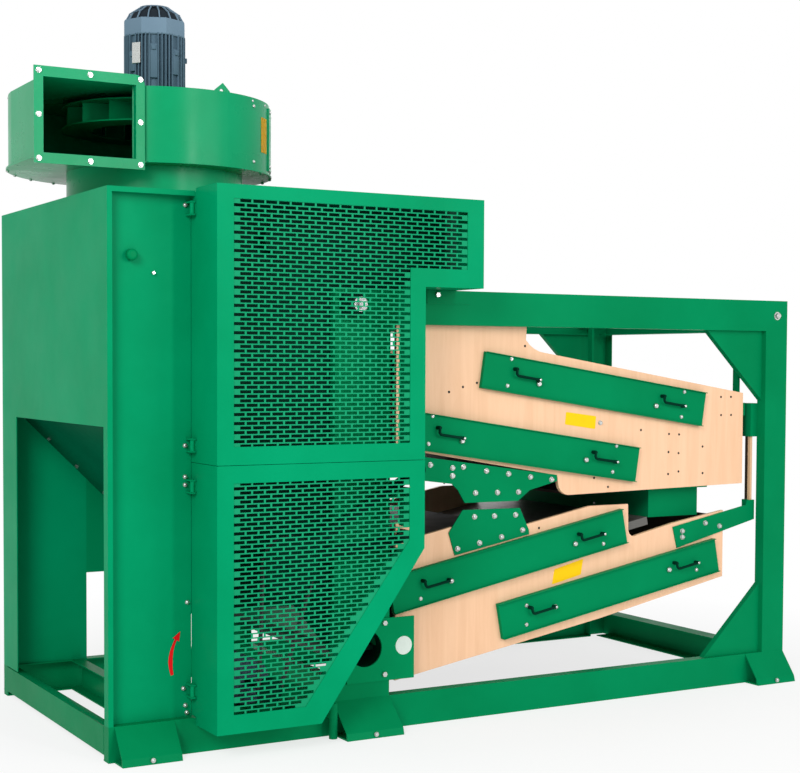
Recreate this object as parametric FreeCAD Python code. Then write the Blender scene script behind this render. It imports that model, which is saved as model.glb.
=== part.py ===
import FreeCAD, Part
import math
import os

os.makedirs("parts", exist_ok=True)
V = FreeCAD.Vector

# Sizes in millimetres. X runs along the machine from the aspirator's outer face,
# Y runs back from the frame's front plane, Z runs up from the floor.

# Frame
frame_length = 3360
frame_width = 1410
frame_height = 1800
top_beam_height = 143
base_beam_height = 136
member_depth = 55
member_wall = 5
end_beam_depth = 87
post_width = 132
column_left = 945
column_right = 1199
column_depth = 41
inner_cross_left = 295
gusset_wall = 5
gusset_setback = 25
gusset_width = 337
gusset_drop = 327
gusset_lip = 30
foot_wall = 6
foot_lip = 28
foot_lean = 8
foot_reach = 90
middle_foot_reach = 128
left_foot = (24, 261)
middle_foot = (941, 1199)
right_foot = (frame_length - 235, frame_length - 3)
anchor_hole_radius = 9
lip_hole_radius = 6
notch_plate = (1370, 1580)
notch_plate_height = 55
notch_plate_wall = 3
frame_bolt_flats = 19
frame_bolt_head = 10

# Aspirator chamber
sheet = 4
aspirator_width = 347
back_wall_width = 370
wall_recess = 41
wall_lip = 20
aspirator_top = 2147
side_panel_bottom = 1256
side_strip_start = 1197
side_rail_bottom = 22
side_rail_top = 131
chamber_bottom = 532
floor_left_height = 1325
floor_seat_gap = 0.05
partition_x = 800
partition_bottom = 1100
partition_top = 1950
channel_wall_x = 900
channel_wall_bottom = 1640
channel_wall_rise = 12
channel_wall_top = 1508
casing_flange = 12
floor_bolt_flats = 16
floor_bolt_pitch = 128
floor_bolt_rows = 3
floor_bolt_first = 175
floor_bolt_inset = 80
inspection_port = (692, 1980)
inspection_port_radius = 57
inspection_port_reach = 46

# Air valve
valve_x = 103
valve_z = 1898
valve_shaft_radius = 10
valve_blade_width = 170
valve_blade_wall = 4
valve_knob_radius = 22
valve_knob_length = 24
stop_pin_drop = 64
stop_pin_offset = 91
stop_pin_radius = 6
bearing_clearance = 0.05

# Cross auger
auger_x = 1086
auger_z = 338
trough_radius = 77
trough_wall = 4
outlet_pipe_radius = 75
casing_x = auger_x + trough_radius
auger_shaft_radius = 16
auger_radius = 66
auger_pitch = 140
auger_flight_wall = 5
auger_tube_radius = 21
end_plate_left = 1000
end_plate_right = 1313
end_plate_bottom = 200
end_plate_top = 457
end_plate_wall = 6
hanger_bearing_depth = 24

# Feed box and feed roller
feed_box_right = 1480
feed_box_shelf = 1985
gate_top = 1960
roller_x = 1011
roller_z = 1731
roller_radius = 58
roller_shaft_radius = 15
roller_flutes = 10
roller_flute_depth = 9
roller_gap = 6
roller_shaft_reach = 110
roller_nut_radius = 30
inlet_left = 950
inlet_right = 1350
inlet_margin = 200
inlet_height = 45
inlet_flange_width = 40
inlet_flange_wall = 6
inlet_hole_radius = 7
chute_start = (960, 1662)
chute_end = (1325, 1512)

# Geared motors at the back
gear_case_width = 130
gear_case_depth = 110
gear_motor_radius = 62
gear_motor_length = 190
gear_shaft_reach = 60

# Fan
fan_x = 455
fan_y = 705
neck_radius = 365
neck_wall = 4
neck_flange_width = 28
neck_flange_wall = 6
scroll_bottom = 2285
scroll_height = 294
scroll_wall = 4
scroll_start_radius = 445
scroll_growth = 160
scroll_growth_power = 1.5
scroll_arcs = 6
scroll_rim = 14
scroll_rim_wall = 5
outlet_plane = 290
outlet_inner_x = 218
outlet_flange_side = 36
outlet_flange_wall = 6
outlet_flange_corner = 40
outlet_hole_radius = 5.5
fan_inlet_radius = 310
impeller_radius = 385
impeller_height = 210
impeller_hub_radius = 60
impeller_shaft_radius = 19
impeller_blades = 10
impeller_wall = 5
impeller_gap = 20
blade_inner_radius = 240
blade_sweep = 35
cover_start_angle = -32
cover_end_angle = -12
fan_cover_wall = 8
fan_cover_margin = 17
lug_x = (560, 690)
lug_y = 430
lug_height = 66
lug_wall = 6
lug_hole_radius = 14

# Fan motor
motor_radius = 131
motor_core_radius = 113
motor_fins = 28
motor_flange_radius = 150
motor_flange_height = 18
motor_fin_top = 2865
cowl_radius = 133
cowl_sides = 12
cowl_height = 60
dome_radius = 103
dome_height = 60
terminal_box = (90, 110, 60)

# Guards
guard_left = 348
guard_right = 1240
guard_shoulder_right = 1512
guard_shoulder_z = 1801
guard_top = 2157
guard_seam = 1115
guard_seam_gap = 2
guard_bottom = 108
guard_toe_x = 784
guard_toe_z = 763
guard_front = -211
guard_sheet = 3
guard_side_clearance = 1
rod_notch_half = 45
rod_notch_margin = 12
grille_left = 415
grille_right = 1171
grille_shoulder_right = 1435
grille_shoulder_z = 1874
grille_top = 2105
upper_grille_bottom = 1184
lower_grille_top = 1048
lower_grille_bottom = 180
grille_toe_x = 715
grille_toe_z = 798
grille_margin = 14
grille_sheet = 2
grille_row_pitch = 51
grille_slot_height = 33
grille_slot_pitch = 116
grille_slot_length = 98
hinge_x = 333
hinge_y = -8
hinge_pin_radius = 5
hinge_sleeve_radius = 9
hinge_sleeve_length = 40
hinge_lug_wall = 6
upper_hinge_heights = (1182, 2080)
lower_hinge_heights = (240, 1025)

# Shoe drive
drive_x = 682
drive_z = 718
drive_shaft_radius = 20
shaft_tube_radius = 28
shaft_tube_wall = 3
big_pulley_radius = 115
small_pulley_radius = 48
pulley_width = 36
pulley_front = -150
pulley_gap = 20
belt_thickness = 8
belt_gap = 0.3
drive_motor_x = 597
drive_motor_z = 240
drive_motor_radius = 92
drive_motor_length = 300
drive_motor_back = 70
drive_motor_shaft_radius = 14
motor_bed_wall = 8
motor_rail_size = 40
bearing_size = 46
bearing_depth = 30
throw = 8
eccentric_radius = 44
eccentric_width = 22
eccentric_gap = 5
rod_ring_radius = 76
rod_ring_clearance = 9
rod_bar_height = 46
rod_bar_wall = 18
upper_pin = (1283, 1066)
lower_pin = (1283, 795)
pin_radius = 18
pin_eye_radius = 30

# Shoes
shoe_side_gap = 7
plywood = 18
shoe_left = 1262
upper_shoe_top = 1690
upper_shoe_end_gap = 82
lower_shoe_end_gap = 197
floor_board = 12
screen_frame_height = 36
screen_gap = 4
screen_margin = 60
cleat_wall = 18
cleat_width = 24
bracket_wall = 6
shoe_bolt_flats = 17
shoe_bolt_head = 7

# Screen covers
cover_length = 1227
cover_height = 157
cover_depth = 32
cover_sheet = 3
cover_angles = (-8.55, -8.6, 10.97, 10.4)
cover_reach = (1480, 1244)
inner_cover_corners = ((1281, 1150), (1248, 460))
cover_heights = (1395, 310)
handle_inset = (146, 961)
handle_height = 90
handle_length = 136
handle_reach = 34
handle_radius = 6
knob_inset = (287, 938)
knob_height = 60
knob_radius = 13
knob_length = 16

# Hangers
leaf_wall = 12
leaf_width = 36
leaf_clearance = 1.8
leaf_pin_radius = 3.5
leaf_clamp_gap = 12
clamp_wall = 8
clamp_height = 60
ear_margin = 8
ear_plate_length = 161
ear_plate_height = 92
upper_left_leaf_x = 1585
upper_left_leaf_bottom = 1492
upper_right_leaf_gap = 10
upper_right_leaf_bottom = 1250
lower_left_leaf_x = 1228
lower_left_leaf_bottom = 592
lower_left_leaf_top = 1010
lower_right_leaf_inset = 31
lower_right_leaf_bottom = 775
lower_leaf_top = 1212
lower_right_pivot_z = 1192
hanger_bracket_bottom = 1158
hanger_bracket_top = 1316
leaf_inset = 30

# Transfer chute under the upper shoe
transfer_reach = (490, 199)
transfer_bottom = 790
transfer_side = 150

# Origin: floor level, in the middle of the anchor holes of the four corner feet
middle_y = frame_width / 2
origin = V((sum(left_foot) + sum(right_foot)) / 4, middle_y, 0)

nodes = {}


def block(x0, x1, y0, y1, z0, z1):
    return Part.makeBox(x1 - x0, y1 - y0, z1 - z0, V(x0, y0, z0))


def extruded(points, step):
    wire = Part.makePolygon([V(*p) for p in points] + [V(*points[0])])
    return Part.Face(wire).extrude(V(*step))


def plate_xz(points, y0, y1):
    return extruded([(x, y0, z) for x, z in points], (0, y1 - y0, 0))


def plate_yz(points, x0, x1):
    return extruded([(x0, y, z) for y, z in points], (x1 - x0, 0, 0))


def plate_xy(points, z0, z1):
    return extruded([(x, y, z0) for x, y in points], (0, 0, z1 - z0))


def cylinder_y(x, z, radius, y0, y1):
    return Part.makeCylinder(radius, y1 - y0, V(x, y0, z), V(0, 1, 0))


def cylinder_z(x, y, radius, z0, z1):
    return Part.makeCylinder(radius, z1 - z0, V(x, y, z0))


def ring_y(x, z, outer, inner, y0, y1):
    return cylinder_y(x, z, outer, y0, y1).cut(cylinder_y(x, z, inner, y0 - 1, y1 + 1))


def ring_z(x, y, outer, inner, z0, z1):
    return cylinder_z(x, y, outer, z0, z1).cut(cylinder_z(x, y, inner, z0 - 1, z1 + 1))


def hexagon(flats):
    radius = flats / math.sqrt(3)
    return [(radius * math.cos(math.radians(a)), radius * math.sin(math.radians(a)))
            for a in range(0, 360, 60)]


def bolt_front(x, z, y, flats, head):
    """Hexagon head standing forward of a face at y."""
    return plate_xz([(x + dx, z + dz) for dx, dz in hexagon(flats)], y - head, y)


def bolt_up(x, y, z, flats, head):
    return plate_xy([(x + dx, y + dy) for dx, dy in hexagon(flats)], z, z + head)


def mirrored(shape):
    """The same piece on the back side of the machine."""
    return shape.mirror(V(0, middle_y, 0), V(0, 1, 0))


def both_sides(shapes):
    return list(shapes) + [mirrored(s) for s in shapes]


def add(name, *shapes):
    """Puts separate solids into a named node, after those that it holds already."""
    nodes.setdefault(name, []).extend(shapes)


def union(shapes):
    result = shapes[0].multiFuse(list(shapes[1:]))
    return result.removeSplitter()


def between(start, end, t):
    return start + (end - start) * t


def strip_xz(points, wall, y0, y1):
    """Sheet bent along a line in the XZ plane, its thickness to the right of the line."""
    outer = list(points)
    inner = []
    for i, (x, z) in enumerate(points):
        normals = []
        for a, b in ((i - 1, i), (i, i + 1)):
            if a >= 0 and b < len(points):
                dx = points[b][0] - points[a][0]
                dz = points[b][1] - points[a][1]
                size = math.hypot(dx, dz)
                normals.append((dz / size, -dx / size))
        nx = sum(n[0] for n in normals)
        nz = sum(n[1] for n in normals)
        scale = wall * len(normals) / (nx * nx + nz * nz)
        inner.append((x + nx * scale, z + nz * scale))
    return plate_xz(outer + inner[::-1], y0, y1)


# Frame
def channel_x(x0, x1, z0, z1, depth):
    """C channel along X with its web in the front plane."""
    body = block(x0, x1, 0, depth, z0, z1)
    return body.cut(block(x0 - 1, x1 + 1, member_wall, depth + 1, z0 + member_wall, z1 - member_wall))


def channel_z(x0, x1, z0, z1, depth):
    body = block(x0, x1, 0, depth, z0, z1)
    return body.cut(block(x0 + member_wall, x1 - member_wall, member_wall, depth + 1, z0 - 1, z1 + 1))


def cross_channel(x0, x1, z0, z1):
    """C channel across the machine, its web on the far side."""
    y0 = member_depth
    y1 = frame_width - member_depth
    body = block(x0, x1, y0, y1, z0, z1)
    return body.cut(block(x0 - 1, x1 - member_wall, y0 - 1, y1 + 1, z0 + member_wall, z1 - member_wall))


post_left = frame_length - post_width
top_beam_bottom = frame_height - top_beam_height

base_front = channel_x(0, post_left, 0, base_beam_height, member_depth)
base_cross = [cross_channel(inner_cross_left, inner_cross_left + member_depth, 0, base_beam_height),
              cross_channel(column_right - member_depth, column_right, 0, base_beam_height),
              cross_channel(frame_length - end_beam_depth, frame_length, 0, base_beam_height)]
add("base_frame", *both_sides([base_front]), *base_cross)

top_front = channel_x(column_right, post_left, top_beam_bottom, frame_height, member_depth)
top_cross = cross_channel(frame_length - end_beam_depth, frame_length, top_beam_bottom, frame_height)
add("top_frame", *both_sides([top_front]), top_cross)

post = channel_z(post_left, frame_length, 0, frame_height, member_depth)
add("right_posts", *both_sides([post]))

column = channel_z(column_left, column_right, base_beam_height, frame_height, column_depth)
column_hole = cylinder_y(roller_x, roller_z, roller_shaft_radius + 5, -1, column_depth + 1)
trough_hole = cylinder_y(auger_x, auger_z, outlet_pipe_radius + trough_wall, -1, column_depth + 1)
auger_end_hole = cylinder_y(auger_x, auger_z, auger_shaft_radius + 5, -1, column_depth + 1)
add("middle_columns", column.cut(column_hole).cut(trough_hole), mirrored(column.cut(column_hole).cut(auger_end_hole)))


def gusset(corner_z, direction):
    """Triangular plate in a corner by the post, with a lip folded along its long edge."""
    y0 = gusset_setback
    y1 = y0 + gusset_wall
    far = corner_z + direction * gusset_drop
    plate = plate_xz([(post_left, corner_z), (post_left - gusset_width, corner_z), (post_left, far)], y0, y1)
    size = math.hypot(gusset_width, gusset_drop)
    nx = gusset_drop / size * gusset_wall
    nz = direction * gusset_width / size * gusset_wall
    lip = plate_xz([(post_left - gusset_width, corner_z), (post_left, far),
                    (post_left, far - nz * size / gusset_width), (post_left - gusset_width + size / gusset_drop * nx,
                    corner_z)], y0, y0 + gusset_lip)
    return plate.fuse(lip).removeSplitter()


gussets = [gusset(top_beam_bottom, -1), gusset(base_beam_height, 1)]
add("gussets", *both_sides(gussets))


def foot(span, reach):
    """Folded foot: sloping front, low lip and floor flange with an anchor hole."""
    x0, x1 = span
    crease = -(reach - foot_lean)
    outer = [(0, base_beam_height), (crease, foot_lip), (-reach, 0), (0, 0)]
    slope_wall = foot_wall * math.hypot(crease, base_beam_height - foot_lip) / -crease
    inner = [(0, base_beam_height - slope_wall), (crease + foot_wall, foot_lip), (-reach + foot_wall * 2, foot_wall),
             (0, foot_wall)]
    body = plate_yz(outer, x0, x1).cut(plate_yz(inner, x0 - 1, x1 + 1))
    middle = (x0 + x1) / 2
    anchor = cylinder_z(middle, -reach / 2, anchor_hole_radius, -1, foot_wall + 1)
    lip_hole = cylinder_y(middle, foot_lip / 2 + 2, lip_hole_radius, -reach - 1, crease + foot_wall * 2)
    return body.cut(anchor).cut(lip_hole)


feet = [foot(left_foot, foot_reach), foot(middle_foot, middle_foot_reach), foot(right_foot, foot_reach)]
add("feet", *both_sides(feet))

add("top_frame", block(notch_plate[0], notch_plate[1], -notch_plate_wall, 0,
                         frame_height - notch_plate_height, frame_height))

post_bolt_inset = 58
post_bolt_drop = 70
notch_bolt_inset = 48
frame_bolts = [bolt_front(frame_length - post_bolt_inset, frame_height - post_bolt_drop, 0,
                          frame_bolt_flats, frame_bolt_head),
               bolt_front(notch_plate[0] + notch_bolt_inset, frame_height - notch_plate_height / 3,
                          -notch_plate_wall, frame_bolt_flats, frame_bolt_head)]
add("frame_bolts", *frame_bolts)

# Aspirator walls
def wall_shell(width):
    """Recessed wall sheet with a folded left edge and top rail, open to the right."""
    body = block(0, width, 0, wall_recess + sheet, base_beam_height, aspirator_top)
    hollow = block(sheet, width + 1, sheet, wall_recess, base_beam_height - 1, aspirator_top - sheet)
    window = block(wall_lip, width + 1, -1, sheet + 1, base_beam_height - 1, aspirator_top - wall_lip)
    return body.cut(hollow).cut(window)


front_wall = wall_shell(aspirator_width)
valve_hole = cylinder_y(valve_x, valve_z, valve_shaft_radius + bearing_clearance, -1, wall_recess + sheet + 1)
add("front_wall", front_wall.cut(valve_hole))
back_strip = block(0, sheet, side_strip_start, frame_width - wall_recess - sheet, base_beam_height, aspirator_top)
back_wall = mirrored(wall_shell(back_wall_width)).cut(mirrored(valve_hole))
add("back_wall", back_wall.fuse(back_strip).removeSplitter())

inner_front = wall_recess + sheet
inner_back = frame_width - inner_front
panel = block(0, sheet, inner_front, side_strip_start, side_panel_bottom, aspirator_top)
panel_hem = block(sheet, sheet + wall_lip, inner_front, side_strip_start, side_panel_bottom,
                  side_panel_bottom + sheet)
add("left_panel", panel.fuse(panel_hem).removeSplitter())
add("base_frame", block(0, member_wall, member_depth, frame_width - member_depth,
                       side_rail_bottom, side_rail_top))

# Chamber sides behind the guards, stepped down to the auger trough
trough_reach = trough_radius + trough_wall + 1
case_right = casing_x + sheet
side_right = casing_x + casing_flange
side_outline = [(aspirator_width, chamber_bottom),
                (auger_x - trough_reach - (chamber_bottom - auger_z + trough_reach) * 0.8, chamber_bottom),
                (auger_x - trough_reach, auger_z - trough_reach),
                (side_right, auger_z - trough_reach), (side_right, channel_wall_bottom),
                (channel_wall_x, channel_wall_bottom), (channel_wall_x, aspirator_top),
                (aspirator_width, aspirator_top)]
shaft_tube_hole = cylinder_y(drive_x, drive_z, shaft_tube_radius, wall_recess - 1, inner_front + 1)
chamber_side = plate_xz(side_outline, wall_recess, inner_front)
pipe_hole = cylinder_y(auger_x, auger_z, outlet_pipe_radius + trough_wall, wall_recess - 1, inner_front + 1)
auger_shaft_hole = cylinder_y(auger_x, auger_z, auger_shaft_radius + bearing_clearance,
                              wall_recess - 1, inner_front + 1)
back_outline = [(back_wall_width if x == aspirator_width else x, z) for x, z in side_outline]
chamber_back = mirrored(plate_xz(back_outline, wall_recess, inner_front))
add("chamber_sides", chamber_side.cut(shaft_tube_hole).cut(pipe_hole),
    chamber_back.cut(mirrored(shaft_tube_hole)).cut(mirrored(auger_shaft_hole)))

floor_start = (2 * sheet, floor_left_height)
floor_angle = math.atan2(floor_left_height - auger_z, auger_x - trough_radius - floor_start[0])
floor_end = (auger_x - trough_radius, auger_z + sheet * math.cos(floor_angle) + floor_seat_gap)
add("hopper_floor", strip_xz([floor_start, floor_end], sheet, inner_front, inner_back))

partition = strip_xz([(partition_x, partition_top), (partition_x, partition_bottom),
                      (casing_x, auger_z + trough_radius), (casing_x, auger_z)][::-1], sheet,
                     inner_front, inner_back)
add("chamber_sides", partition)
add("chamber_sides", block(casing_x, case_right, inner_front, inner_back,
                           auger_z + trough_radius + channel_wall_rise, channel_wall_top))

top_hole = cylinder_z(fan_x, fan_y, neck_radius - neck_wall, aspirator_top - sheet - 1, aspirator_top + 1)
top_plate = block(sheet, channel_wall_x - sheet, inner_front, inner_back, aspirator_top - sheet, aspirator_top)
add("chamber_top", top_plate.cut(top_hole))
add("chamber_sides", block(channel_wall_x - sheet, channel_wall_x, inner_front, inner_back,
                              channel_wall_bottom, aspirator_top))

slope = (floor_left_height - floor_end[1]) / (floor_end[0] - floor_start[0])
floor_bolts = []
for row in range(floor_bolt_rows):
    for y in (inner_front + floor_bolt_inset, inner_back - floor_bolt_inset):
        x = floor_bolt_first + row * floor_bolt_pitch
        z = floor_left_height - (x - floor_start[0]) * slope - sheet / math.cos(math.atan(slope))
        head = bolt_up(x, y, z - frame_bolt_head, floor_bolt_flats, frame_bolt_head)
        head.rotate(V(x, y, z), V(0, 1, 0), math.degrees(math.atan(slope)))
        floor_bolts.append(head)
add("frame_bolts", *floor_bolts)

add("chamber_sides", cylinder_y(inspection_port[0], inspection_port[1], inspection_port_radius,
                                  wall_recess - inspection_port_reach, wall_recess))

# Air valve: a blade on a shaft across the chamber, with a knob outside
shaft_front = wall_recess - valve_knob_length / 2
valve_shaft = cylinder_y(valve_x, valve_z, valve_shaft_radius, shaft_front, frame_width - wall_recess)
blade = block(valve_x - valve_blade_width / 2, valve_x + valve_blade_width / 2,
              inner_front + 5, inner_back - 5, valve_z - valve_blade_wall / 2, valve_z + valve_blade_wall / 2)
add("air_valve", valve_shaft.fuse(blade).removeSplitter())
knob_base = shaft_front - 0.2
knob = cylinder_y(valve_x, valve_z, valve_knob_radius, knob_base - valve_knob_length, knob_base)
dome_edge = knob.Edges[0] if knob.Edges[0].BoundBox.YMin < knob_base - 1 else knob.Edges[2]
valve_knob = knob.makeFillet(valve_knob_length * 0.5, [dome_edge])
add("air_valve", valve_knob)
add("frame_bolts", cylinder_y(valve_x + stop_pin_offset, valve_z - stop_pin_drop, stop_pin_radius,
                             wall_recess - stop_pin_radius * 2, wall_recess))

# Cross auger in its trough, discharging through the bore in the front column
trough = ring_y(auger_x, auger_z, trough_radius + trough_wall, trough_radius, inner_front, inner_back)
upper_half = block(auger_x - trough_reach, auger_x + trough_reach, inner_front - 1, inner_back + 1,
                   auger_z, auger_z + trough_reach)
pipe = ring_y(auger_x, auger_z, outlet_pipe_radius + trough_wall, outlet_pipe_radius, -end_plate_wall, inner_front)
hanger_y = inner_front + hanger_bearing_depth
cross_bar = block(auger_x - trough_radius, auger_x + trough_radius, hanger_y, hanger_y + hanger_bearing_depth,
                  auger_z - auger_shaft_radius - trough_wall, auger_z)
bush = ring_y(auger_x, auger_z, auger_shaft_radius + trough_wall * 2, auger_shaft_radius + bearing_clearance,
              hanger_y, hanger_y + hanger_bearing_depth)
bush_hole = cylinder_y(auger_x, auger_z, auger_shaft_radius + bearing_clearance, hanger_y - 1,
                       hanger_y + hanger_bearing_depth + 1)
trough_body = trough.cut(upper_half).fuse([pipe, cross_bar.cut(bush_hole), bush]).removeSplitter()
add("auger_trough", trough_body)

end_plate = block(end_plate_left, end_plate_right, -end_plate_wall, 0, end_plate_bottom, end_plate_top)
end_hole = cylinder_y(auger_x, auger_z, outlet_pipe_radius + trough_wall, -end_plate_wall - 1, 1)
add("auger_trough", end_plate.cut(end_hole))
end_bolt_inset = 27
end_bolt_drop = 19
end_bolts = [bolt_front(column_right - end_bolt_inset, end_plate_top - end_bolt_drop, -end_plate_wall,
                        frame_bolt_flats, frame_bolt_head),
             bolt_front(column_right - end_bolt_inset, end_plate_bottom + end_bolt_inset, -end_plate_wall,
                        frame_bolt_flats, frame_bolt_head)]
add("frame_bolts", *end_bolts)

flight_start = hanger_y + hanger_bearing_depth + 4
flight_end = inner_back - 6
flight_length = flight_end - flight_start
shaft = cylinder_y(auger_x, auger_z, auger_shaft_radius, hanger_y, frame_width + gear_shaft_reach)
tube = cylinder_y(auger_x, auger_z, auger_tube_radius, flight_start, flight_end)


def half_turn(y, turn):
    """One inclined half disc of the flight; pairs of them make one pitch of the screw."""
    tilt = math.degrees(math.atan(auger_pitch / 2 / (2 * auger_radius)))
    disc = Part.makeCylinder(auger_radius - 2, auger_flight_wall, V(0, -auger_flight_wall / 2, 0), V(0, 1, 0))
    half = disc.common(block(-auger_radius, auger_radius, -auger_radius, auger_radius, 0, auger_radius))
    half.rotate(V(0, 0, 0), V(0, 0, 1), tilt if turn else -tilt)
    if turn:
        half.rotate(V(0, 0, 0), V(0, 1, 0), 180)
    half.translate(V(auger_x, y, auger_z))
    return half


flight = []
for i in range(int(flight_length / (auger_pitch / 2)) - 1):
    flight.append(half_turn(flight_start + auger_pitch / 2 * (i + 0.9), i % 2 == 1))
add("cross_auger", union([shaft, tube] + flight))

# Feed box, roller and chute
feed_outline = [(channel_wall_x, aspirator_top), (channel_wall_x, channel_wall_bottom),
                (roller_x + roller_radius + roller_gap + sheet, channel_wall_bottom),
                (roller_x + roller_radius + roller_gap + sheet, roller_z),
                (feed_box_right, feed_box_shelf), (feed_box_right, aspirator_top)]
feed_end = plate_xz(feed_outline, wall_recess, inner_front)
roller_hole = cylinder_y(roller_x, roller_z, roller_shaft_radius + bearing_clearance, wall_recess - 1, inner_front + 1)
slope_plate = strip_xz([(roller_x + roller_radius + roller_gap, channel_wall_bottom),
                        (roller_x + roller_radius + roller_gap, roller_z),
                        (feed_box_right - sheet, feed_box_shelf), (feed_box_right - sheet, aspirator_top)],
                       sheet, inner_front, inner_back)
gate = strip_xz([(roller_x - roller_radius / 2, roller_z + roller_radius + roller_gap * 2),
                 (channel_wall_x + 0.1, gate_top)], sheet, inner_front, inner_back)
feed_top = block(channel_wall_x, feed_box_right - sheet, inner_front, inner_back, aspirator_top - sheet,
                 aspirator_top)
inlet_front = inlet_margin
inlet_back = frame_width - inlet_margin
inlet_hole = block(inlet_left, inlet_right, inlet_front, inlet_back, aspirator_top - sheet - 1,
                   aspirator_top + inlet_height + 1)
add("feed_box", feed_end.cut(roller_hole), mirrored(feed_end.cut(roller_hole)))
add("feed_box", slope_plate, gate)
collar = block(inlet_left - sheet, inlet_right + sheet, inlet_front - sheet, inlet_back + sheet,
               aspirator_top, aspirator_top + inlet_height)
inlet_top = aspirator_top + inlet_height
inlet_flange = block(inlet_left - inlet_flange_width, inlet_right + inlet_flange_width,
                     inlet_front - inlet_flange_width, inlet_back + inlet_flange_width,
                     inlet_top - inlet_flange_wall, inlet_top)
inlet_holes = [cylinder_z(x, y, inlet_hole_radius, inlet_top - inlet_flange_wall - 1, inlet_top + 1)
               for x in (inlet_left - inlet_flange_width / 2, inlet_right + inlet_flange_width / 2)
               for y in (inlet_front - inlet_flange_width / 2, inlet_back + inlet_flange_width / 2)]
feed_inlet = collar.fuse([inlet_flange, feed_top]).cut(inlet_hole)
for hole in inlet_holes:
    feed_inlet = feed_inlet.cut(hole)
add("feed_box", feed_inlet.removeSplitter())

roller_end_gap = 5
roller = cylinder_y(roller_x, roller_z, roller_radius, inner_front + roller_end_gap, inner_back - roller_end_gap)
for i in range(roller_flutes):
    angle = 2 * math.pi * i / roller_flutes
    fx = roller_x + roller_radius * math.cos(angle)
    fz = roller_z + roller_radius * math.sin(angle)
    roller = roller.cut(cylinder_y(fx, fz, roller_flute_depth, inner_front, inner_back))
roller_shaft = cylinder_y(roller_x, roller_z, roller_shaft_radius, -roller_shaft_reach,
                          frame_width + gear_shaft_reach)
add("feed_roller", roller.fuse(roller_shaft).removeSplitter())
nut_wall = 14
shaft_nut = ring_y(roller_x, roller_z, roller_nut_radius, roller_shaft_radius, -roller_shaft_reach + nut_wall,
                   -roller_shaft_reach + nut_wall * 2)
add("feed_roller", shaft_nut)

chute_plate = strip_xz([chute_start, chute_end], sheet, inner_front + plywood * 3, inner_back - plywood * 3)
add("feed_box", block(channel_wall_x, casing_x, inner_front, inner_front + plywood * 3,
                        channel_wall_bottom - sheet * 2, channel_wall_bottom - sheet),
    mirrored(block(channel_wall_x, casing_x, inner_front, inner_front + plywood * 3,
                   channel_wall_bottom - sheet * 2, channel_wall_bottom - sheet)), chute_plate)


def gearmotor(x, z, shaft_radius):
    """Gear case on a shaft end behind the machine, with its motor standing on it."""
    y0 = frame_width
    case = block(x - gear_case_width / 2, x + gear_case_width / 2, y0, y0 + gear_case_depth,
                 z - gear_case_width / 2, z + gear_case_width / 2)
    case = case.makeChamfer(wall_lip / 2, [e for e in case.Edges if e.Length > gear_case_width - 1])
    motor = cylinder_z(x, y0 + gear_case_depth / 2, gear_motor_radius * 0.8, z, z + gear_motor_length)
    motor = motor.makeChamfer(wall_lip / 3, [e for e in motor.Edges if e.BoundBox.ZMin > z + 1])
    bore = cylinder_y(x, z, shaft_radius + bearing_clearance, y0 - 1, y0 + gear_shaft_reach + 1)
    return case.fuse(motor).removeSplitter().cut(bore)


add("gearmotors", gearmotor(roller_x, roller_z, roller_shaft_radius),
    gearmotor(auger_x, auger_z, auger_shaft_radius))

# Fan neck and scroll
neck = ring_z(fan_x, fan_y, neck_radius, neck_radius - neck_wall, aspirator_top, scroll_bottom)
neck_flange = ring_z(fan_x, fan_y, neck_radius + neck_flange_width, neck_radius - neck_wall,
                     aspirator_top, aspirator_top + neck_flange_wall)
add("chamber_top", neck.fuse(neck_flange).removeSplitter())

tongue_angle = math.degrees(math.asin((fan_x - outlet_inner_x) / scroll_start_radius)) + 90
left_radius = scroll_start_radius + scroll_growth


def scroll_radius(angle):
    """Spiral radius at an angle in degrees, from the tongue round to the left wall."""
    part = (angle + tongue_angle) / (180 + tongue_angle)
    return scroll_start_radius + scroll_growth * part ** scroll_growth_power


def scroll_face(grow, z):
    """Plan of the scroll and its outlet; a positive grow moves the outline outward."""
    points = []
    for i in range(2 * scroll_arcs + 1):
        angle = between(-tongue_angle, 180, i / (2 * scroll_arcs))
        radius = scroll_radius(angle) + grow
        points.append(V(fan_x + radius * math.cos(math.radians(angle)),
                        fan_y + radius * math.sin(math.radians(angle)), z))
    edges = [Part.Arc(points[i], points[i + 1], points[i + 2]).toShape()
             for i in range(0, 2 * scroll_arcs, 2)]
    left = V(fan_x - left_radius - grow, outlet_plane, z)
    mouth = V(outlet_inner_x + grow, outlet_plane, z)
    edges += [Part.makeLine(points[-1], left), Part.makeLine(left, mouth), Part.makeLine(mouth, points[0])]
    return Part.Face(Part.Wire(edges))


scroll_top = scroll_bottom + scroll_height
outer = scroll_face(scroll_wall, scroll_bottom).extrude(V(0, 0, scroll_height))
wrap_height = scroll_height - 2 * scroll_wall
wrap = scroll_face(scroll_wall, scroll_bottom + scroll_wall).extrude(V(0, 0, wrap_height))
wrap = wrap.cut(scroll_face(0, scroll_bottom + scroll_wall).extrude(V(0, 0, wrap_height)))
bottom_plate = scroll_face(scroll_wall, scroll_bottom).extrude(V(0, 0, scroll_wall))
top_sheet = scroll_face(scroll_wall, scroll_top - scroll_wall).extrude(V(0, 0, scroll_wall))
inlet_cut = cylinder_z(fan_x, fan_y, fan_inlet_radius, scroll_bottom - 1, scroll_bottom + scroll_wall + 1)
shaft_cut = cylinder_z(fan_x, fan_y, impeller_shaft_radius + bearing_clearance,
                       scroll_top - scroll_wall - 1, scroll_top + 1)
rim = scroll_face(scroll_rim, scroll_bottom - scroll_rim_wall).extrude(V(0, 0, scroll_rim_wall))
rim_hole = cylinder_z(fan_x, fan_y, neck_radius, scroll_bottom - scroll_rim_wall - 1, scroll_bottom + 1)
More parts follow.
